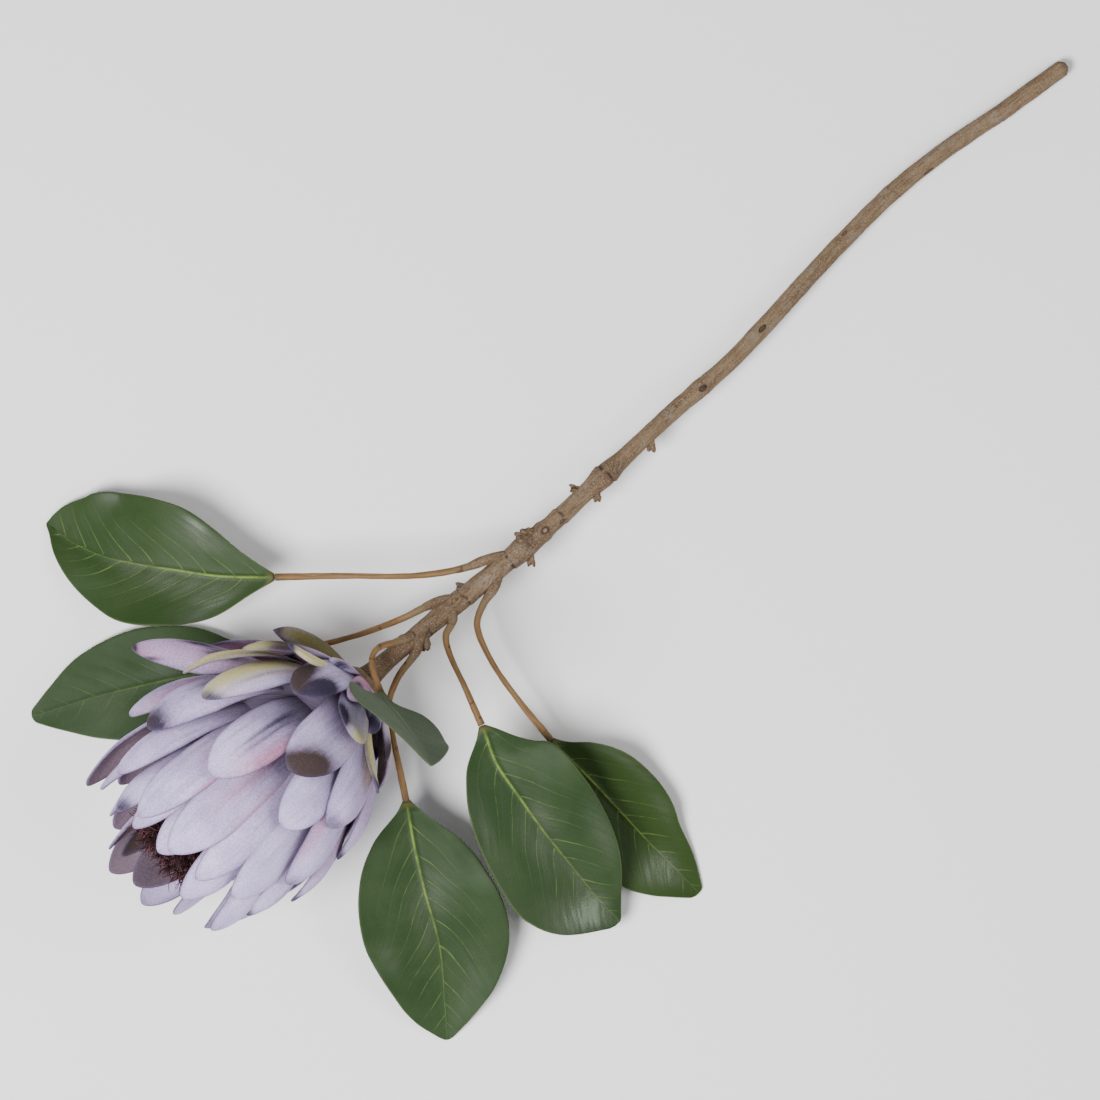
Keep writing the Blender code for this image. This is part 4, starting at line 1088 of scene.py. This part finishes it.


# Leaves: midrib routes in millimetres from the knot, and half widths on the left and right sides.
# Each spot of painted sheen, a soft painted highlight, has its place along and across the blade, its
# spread and its strength.

leafShape = {
    "thickness": 0.8,
    "rib": 1.5,
    "foot": 2.07,
    "collar": 5.0,
    "collarGap": 0.6,
    "tip": 0.015,  # the rounded share of the length
    "rows": 150,
    "columns": 64,
    "veinSpacing": 14.5,  # millimetres along the midrib
    "veinSlant": 1.05,
    "veinDepth": 0.07,
}
leaves = {
    1: dict(
        route=(
            (-192.6, 96.1, 28), (-209.7, 115.8, 23), (-222.2, 130.5, 17.5), (-235, 148.3, 10.5),
            (-243.2, 167.8, 4), (-246, 182, 1),
        ),
        left=((0.1, 10.5), (0.25, 25), (0.42, 32), (0.6, 33), (0.75, 24), (0.88, 13), (0.96, 4), (1, 1)),
        right=((0.1, 11), (0.25, 25), (0.45, 37), (0.75, 36.5), (0.88, 29.5), (0.96, 20), (1, 8)),
        fold=10, wave=3, waves=2.3, phase=0.4,
        paintedSheen=(
            (0.2, -0.3, 0.13, 0.3, 0.9), (0.23, -0.62, 0.07, 0.14, 1.7), (0.33, 0.86, 0.05, 0.1, 1.8),
            (0.42, -0.2, 0.14, 0.22, 1), (0.6, -0.06, 0.1, 0.12, 0.7),
            (0.3, 0.7, 0.1, 0.22, 0.9), (0.76, 0.93, 0.07, 0.12, 0.7), (0.3, -0.85, 0.05, 0.12, 0.7),
        ),
    ),
    2: dict(
        route=((-222, 55, 6), (-240, 65, 5), (-256, 74, 4.2), (-289, 91.4, 3), (-323, 106.5, 1)),
        left=((0.1, 12), (0.25, 24), (0.4, 29), (0.55, 30), (0.75, 23), (0.9, 12), (1, 3)),
        right=((0.1, 13), (0.25, 25), (0.4, 30), (0.55, 31), (0.75, 24), (0.9, 12), (1, 3)),
        fold=3, wave=1, waves=2, phase=1.3,
        paintedSheen=((0.42, 0.15, 0.12, 0.2, 0.5), (0.7, -0.3, 0.1, 0.3, 0.15)),
    ),
    3: dict(
        route=(
            (-208, -84, 31), (-220.6, -106.8, 27), (-236.2, -138, 17.5), (-255, -163.6, 6.5),
            (-267.8, -180, 1),
        ),
        left=(
            (0.08, 11), (0.18, 25), (0.3, 34.5), (0.47, 40.5), (0.62, 39), (0.78, 28.5), (0.9, 15.5),
            (1, 2),
        ),
        right=(
            (0.05, 7.5), (0.15, 23), (0.27, 34), (0.45, 40.5), (0.63, 38.5), (0.8, 27.5), (0.92, 16.5),
            (1, 2),
        ),
        fold=9, wave=3, waves=2.2, phase=2,
        paintedSheen=(
            (0.38, -0.12, 0.1, 0.22, 0.8), (0.5, 0.14, 0.12, 0.16, 0.7), (0.74, -0.5, 0.14, 0.22, 0.5),
            (0.6, 0.75, 0.1, 0.14, 0.5),
        ),
    ),
    4: dict(
        route=(
            (-145.3, -81.9, 43), (-148, -103.7, 41), (-150.4, -126.7, 36.5), (-151.6, -151, 30),
            (-152.6, -175.4, 21), (-152.2, -193.4, 12),
        ),
        left=(
            (0.05, 10.5), (0.13, 24), (0.22, 33), (0.38, 36), (0.55, 34.5), (0.7, 28.5), (0.84, 18),
            (1, 1),
        ),
        right=(
            (0.07, 8.5), (0.15, 18), (0.25, 28), (0.4, 34.5), (0.62, 40), (0.73, 38.5), (0.86, 29),
            (1, 5),
        ),
        fold=9, wave=2.6, waves=2.2, phase=3.6,
        paintedSheen=(
            (0.88, 0.4, 0.1, 0.5, 2.6), (0.45, -0.12, 0.1, 0.14, 0.9), (0.52, 0.2, 0.14, 0.2, 0.7),
            (0.34, 0.8, 0.12, 0.14, 0.7), (0.62, -0.78, 0.14, 0.14, 0.6), (0.72, 0.05, 0.1, 0.08, 0.7),
        ),
    ),
    5: dict(
        route=(
            (-112.8, -120, 20), (-111.8, -150.8, 12.5), (-111.3, -170.4, 7), (-110.4, -183.7, 4),
            (-109, -210.8, 1),
        ),
        left=(
            (0.07, 7.5), (0.15, 16), (0.28, 24.5), (0.45, 27.3), (0.58, 25), (0.72, 18.5), (0.86, 12.5),
            (1, 3),
        ),
        right=(
            (0.1, 12), (0.2, 20), (0.35, 27), (0.55, 30), (0.73, 27.8), (0.84, 21.2), (0.93, 12), (1, 4),
        ),
        face=(0.1, 0, 1), fold=8, wave=2, waves=2.2, phase=5,
        paintedSheen=((0.3, -0.86, 0.16, 0.12, 0.8), (0.8, 0.25, 0.08, 0.4, 2.3), (0.6, -0.75, 0.12, 0.16, 0.5)),
    ),
    6: dict(
        route=((-167.8, -27, 101), (-168, -39, 129), (-168.5, -49, 152), (-170, -58, 173)),
        left=((0.1, 15), (0.25, 31), (0.45, 42), (0.6, 42), (0.75, 33), (0.9, 16), (1, 2)),
        right=((0.1, 8), (0.25, 16), (0.45, 20.5), (0.6, 20), (0.75, 15.5), (0.9, 8), (1, 1)),
        face=(-0.91, -0.39, -0.15), fold=-14, wave=1.6, waves=1.8, phase=0.9, paintedSheen=(),
    ),
}


def makeLeaf(number, finish):
    spec = leaves[number]
    stalk = stalkLine(number)
    heading = (stalk[-1] - stalk[-2]).normalized()
    start = stalk[-1] + heading * leafShape["collarGap"] * mm
    points = [start, start + heading * leafShape["collar"] * mm]
    route = smoothCurve(points + [fromKnot(*p) for p in spec["route"]], 60)
    headings = headingsOf(route)
    face = Vector(spec.get("face", up))
    length = sum((b - a).length for a, b in zip(route, route[1:])) / mm
    collar = leafShape["collar"] / length
    sides = [((0.0, leafShape["foot"]), *spec[side]) for side in ("left", "right")]

    def widthAt(s, t):  # half width, and its share of the widest
        profile = sides[1 if t > 0 else 0]
        width = between(profile, s)
        return width, width / max(half for _, half in profile)

    def veinPhase(s, x):  # whole numbers lie on the side veins
        slant = leafShape["veinSlant"] * abs(x) * (1 + abs(x) / 60)
        side = 0.5 if x > 0 else 0.0
        wander = 2.2 * rough(x / 14, s * length / 20, 5.5 * number)
        wander += 6.0 * rough(3 * side, (s * length - slant) / 24, 9.5 * number)
        return (s * length - slant + wander) / leafShape["veinSpacing"] + side

    def surfaceAt(s, t):
        spot = s * (len(route) - 1)
        i = min(int(spot), len(route) - 2)
        place = route[i].lerp(route[i + 1], spot - i)
        along = headings[i].lerp(headings[i + 1], spot - i).normalized()
        outward = (face - along * face.dot(along)).normalized()
        width, reach = widthAt(s, t)
        width *= rounded(min((1 - s) / leafShape["tip"], 1.0))
        fold = radians(spec["fold"])
        ripple = sin(2 * pi * spec["waves"] * s + spec["phase"] + (0.9 if t > 0 else 0.0))
        lift = abs(t) * width * sin(fold) + spec["wave"] * reach * t * t * ripple
        x = t * width
        pillow = cos(2 * pi * veinPhase(s, x)) * eased(abs(x), 1, 6) * (1 - t * t)
        lift -= leafShape["veinDepth"] * pillow * eased(s, 0.03, 0.12)
        lift += 0.5 * rough(x / 15, s * length / 22, 2.2 * number) * eased(abs(x), 0, 9)
        return place + (along.cross(outward) * x * cos(fold) + outward * lift) * mm

    def thicknessAt(s, t):
        roundPart = leafShape["foot"] * sqrt(max(1 - t * t, 0.06))
        flat = leafShape["thickness"] / 2
        width, _ = widthAt(s, t)
        x = abs(t) * width
        ridge = flat + (leafShape["rib"] - flat) * (1 - s) ** 0.6 * bell(x / 1.3)
        ridge *= rounded(min((width - x) / 0.6, (1 - s) * length / 0.6, 1.0))
        share = min(max((s - collar * 0.5) / collar, 0.0), 1.0)
        return (roundPart * (1 - share) + ridge * share) * mm

    def notesAt(s, t, side):
        width, _ = widthAt(s, t)
        x = t * width
        edge = min(width - abs(x), (1 - s) * length)
        # how strong the painted sheen highlight is at this point
        paintedSheenAmount = 0.0
        for atS, atT, spreadS, spreadT, strength in spec["paintedSheen"]:
            paintedSheenAmount += strength * exp(-((s - atS) / spreadS) ** 2 - ((t - atT) / spreadT) ** 2)
        stalky = 1 - eased(s, collar * 0.2, collar * 1.1)
        dyes = (veinPhase(s, x), abs(x), s, abs(t))
        return (x + 150 * number, s * length, 0.0), dyes, (int(side < 0), edge, stalky, paintedSheenAmount)

    rows = [1 - (1 - i / leafShape["rows"]) ** 1.15 for i in range(leafShape["rows"] + 1)]
    columns = leafShape["columns"]
    evenly = [1 - 2 * j / columns for j in range(columns + 1)]
    across = [0.75 * u + 0.25 * sin(pi / 2 * u) for u in evenly]
    heap = newHeap()
    addShell(heap, surfaceAt, thicknessAt, rows, across, notesAt)
    makePiece(f"leafBlade{number}", heap, finish, "leaf_blade", f"leaf_{number}")


leafLook = {
    "blade": ((0.022, 0.044, 0.015), (0.031, 0.054, 0.021)),
    "fresh": (0.022, 0.046, 0.006),
    # painted highlights: a soft grey-green sheen, and a paler glint where it is strongest
    "paintedSheen": (0.088, 0.1, 0.074),
    "paintedGlint": (0.18, 0.23, 0.165),
    "vein": (0.11, 0.16, 0.046),
    "rib": (0.15, 0.22, 0.042),
    "under": ((0.056, 0.078, 0.046), (0.085, 0.115, 0.07)),
    "underVein": (0.11, 0.145, 0.075),
    # rim: a paler yellow-green margin, a painted highlight on the leaf's edge
    "rim": (0.11, 0.14, 0.06),
    "collar": (0.07, 0.072, 0.026),
}


def leafFinish(name, freshness, veiny):
    look = leafLook
    finish, shader = newFinish(name, 0.34, 0.1)
    fibre = attribute(shader, "fibre")["Vector"]
    dyes = attribute(shader, "dyes")
    zones = attribute(shader, "zones")
    phase, fromRib, s = splitUp(dyes["Color"])
    share = dyes["Alpha"]
    under, edge, collar = splitUp(zones["Color"])
    fine = cloud(fibre, 1.3, 3, 0.6)
    broken = cloud(fibre, 0.13, 3, 0.6)
    sideways = newNode("CombineXYZ", (times(phase, 2.2), times(fromRib, 0.05))).outputs[0]
    streaks = cloud(sideways, 1, 3, 0.6)  # they run beside the side veins
    # Painted highlight: sheen over the spots and a paler painted glint where they are strongest; the
    # blade is also a little glossier there
    paintedSheen = times(zones["Alpha"], ramp(streaks, 0.3, 0.65, 0.35, 1.15))
    paintedSheen = times(paintedSheen, ramp(fine, 0.25, 0.7, 0.7, 1.15))
    paintedGlint = ramp(paintedSheen, 0.8, 2.6, 0, 0.55)
    paintedSheen = sums("MINIMUM", paintedSheen, 1)

    veins = []
    for offset, thin, strength in ((0.5, 0.3, 1), (0.12, 0.2, 0.18)):  # main veins, then fainter ones
        nearest = sums("ABSOLUTE", sums("SUBTRACT", sums("FRACT", sums("ADD", phase, offset)), 0.5))
        width = times(ramp(share, 0, 0.9, 1.5, 0.7), thin)
        away = sums("DIVIDE", times(nearest, leafShape["veinSpacing"]), width)
        veins.append(times(ramp(away, 0.3, 1.5, 1, 0), strength))
    fading = times(ramp(share, 0.1, 0.9, 1, 0.1), ramp(broken, 0.36, 0.58, 0.25, 1))
    line = times(sums("MAXIMUM", *veins), fading)
    rib = ramp(sums("DIVIDE", fromRib, sums("SUBTRACT", 1.15, s)), 0.4, 1.25, 1, 0)
    rib = times(rib, times(ramp(s, 0.2, 0.75, 1, 0.35), ramp(broken, 0.38, 0.56, 0.45, 1)))

    below = mix(ramp(fine, 0.3, 0.7), *look["under"])
    below = mix(sums("MAXIMUM", rib, times(line, 0.3)), below, look["underVein"])
    colour = layered(mix(ramp(cloud(fibre, 0.035), 0.35, 0.65), *look["blade"]), (
        (freshness, look["fresh"]),
        (times(paintedSheen, 0.5), look["paintedSheen"]),
        (paintedGlint, look["paintedGlint"]),
        (times(line, 0.75 * veiny), look["vein"]),
        (times(rib, veiny), look["rib"]),
        (under, below),
        # painted highlight: the margin is made paler towards the edge
        (ramp(edge, 0.2, 0.9, 0.5, 0), look["rim"]),
        (collar, look["collar"]),
    ))
    colour = mix(1, colour, ramp(fine, 0.25, 0.75, 0.88, 1.1), "MULTIPLY")
    relief = sums("MAXIMUM", line, rib)
    paint(shader, colour, (fine, 0.15, 0.1), (relief, 0.35, 0.15))
    roughness = sums("SUBTRACT", 0.5, times(paintedSheen, 0.12))
    put(shader.inputs["Roughness"], sums("ADD", roughness, times(under, 0.25)))
    return finish


def makeLeaves():
    stalk = stalkFinish()
    green = leafFinish("leafFinish", 0.0, 0.9)
    finishes = {
        1: leafFinish("brightLeafFinish", 0.3, 1.0),
        2: leafFinish("plainLeafFinish", 0.1, 0.35),
        5: leafFinish("freshLeafFinish", 0.65, 0.9),
    }
    for number in leaves:
        makeStalk(number, stalk)
        makeLeaf(number, finishes.get(number, green))
    print("leaves made")


# Studio: pale floor, soft light and the camera that looks straight down

studio = {
    "sky": (0.5, 0.15),  # strength at the horizon and overhead
    "lamps": (  # name, place, size and power
        ("keyLight", (-1.3, 0.15, 2.1), 1.2, 105.0),
        ("fillLight", (1.2, -1.3, 2.0), 1.8, 30.0),
    ),
    "aim": (-0.12, 0.0, 0.05),
    "floor": 6.0,  # half its width
    "camera": dict(place=(-0.0462, 0.0005, 5.0), turn=-41.2, sensor=36.0, seen=0.605, subject=0.040),
}


def makeStudio():
    world = bpy.data.worlds.new("studioSky")
    world.use_nodes = True
    sky = world.node_tree.nodes["Background"]
    sky.inputs[0].default_value = (1.0, 1.0, 1.0, 1.0)
    direction = world.node_tree.nodes.new("ShaderNodeTexCoord").outputs["Generated"]
    height = sums("ABSOLUTE", newNode("SeparateXYZ", (direction,)).outputs[2])
    put(sky.inputs[1], ramp(height, 0.3, 0.95, *studio["sky"]))
    bpy.context.scene.world = world
    for name, place, size, power in studio["lamps"]:
        data = bpy.data.lights.new(name, "AREA")
        data.shape = "DISK"
        data.size = size
        data.energy = power
        lamp = addObject(name, data)
        lamp.location = place
        lamp.rotation_euler = (Vector(studio["aim"]) - lamp.location).to_track_quat("-Z", "Y").to_euler()
    half = studio["floor"]
    mesh = bpy.data.meshes.new("floor")
    corners = [(-half, -half, 0), (half, -half, 0), (half, half, 0), (-half, half, 0)]
    mesh.from_pydata(corners, [], [(0, 1, 2, 3)])
    finish, shader = newFinish("floorFinish", 0.9, 0.1)
    shader.inputs["Base Color"].default_value = (0.93, 0.93, 0.93, 1.0)
    mesh.materials.append(finish)
    floor = addObject("floor", mesh)
    spec = studio["camera"]
    data = bpy.data.cameras.new("overhead")
    data.sensor_width = spec["sensor"]
    data.lens = spec["sensor"] * (spec["place"][2] - spec["subject"]) / spec["seen"]
    data.clip_end = 30.0
    camera = addObject("overhead", data)
    camera.location = spec["place"]
    camera.rotation_euler = (0.0, 0.0, radians(spec["turn"]))
    bpy.context.scene.camera = camera
    print("studio made")


makeStudio()
makeStem()
makeLeaves()
makeBracts()
makeFlorets()
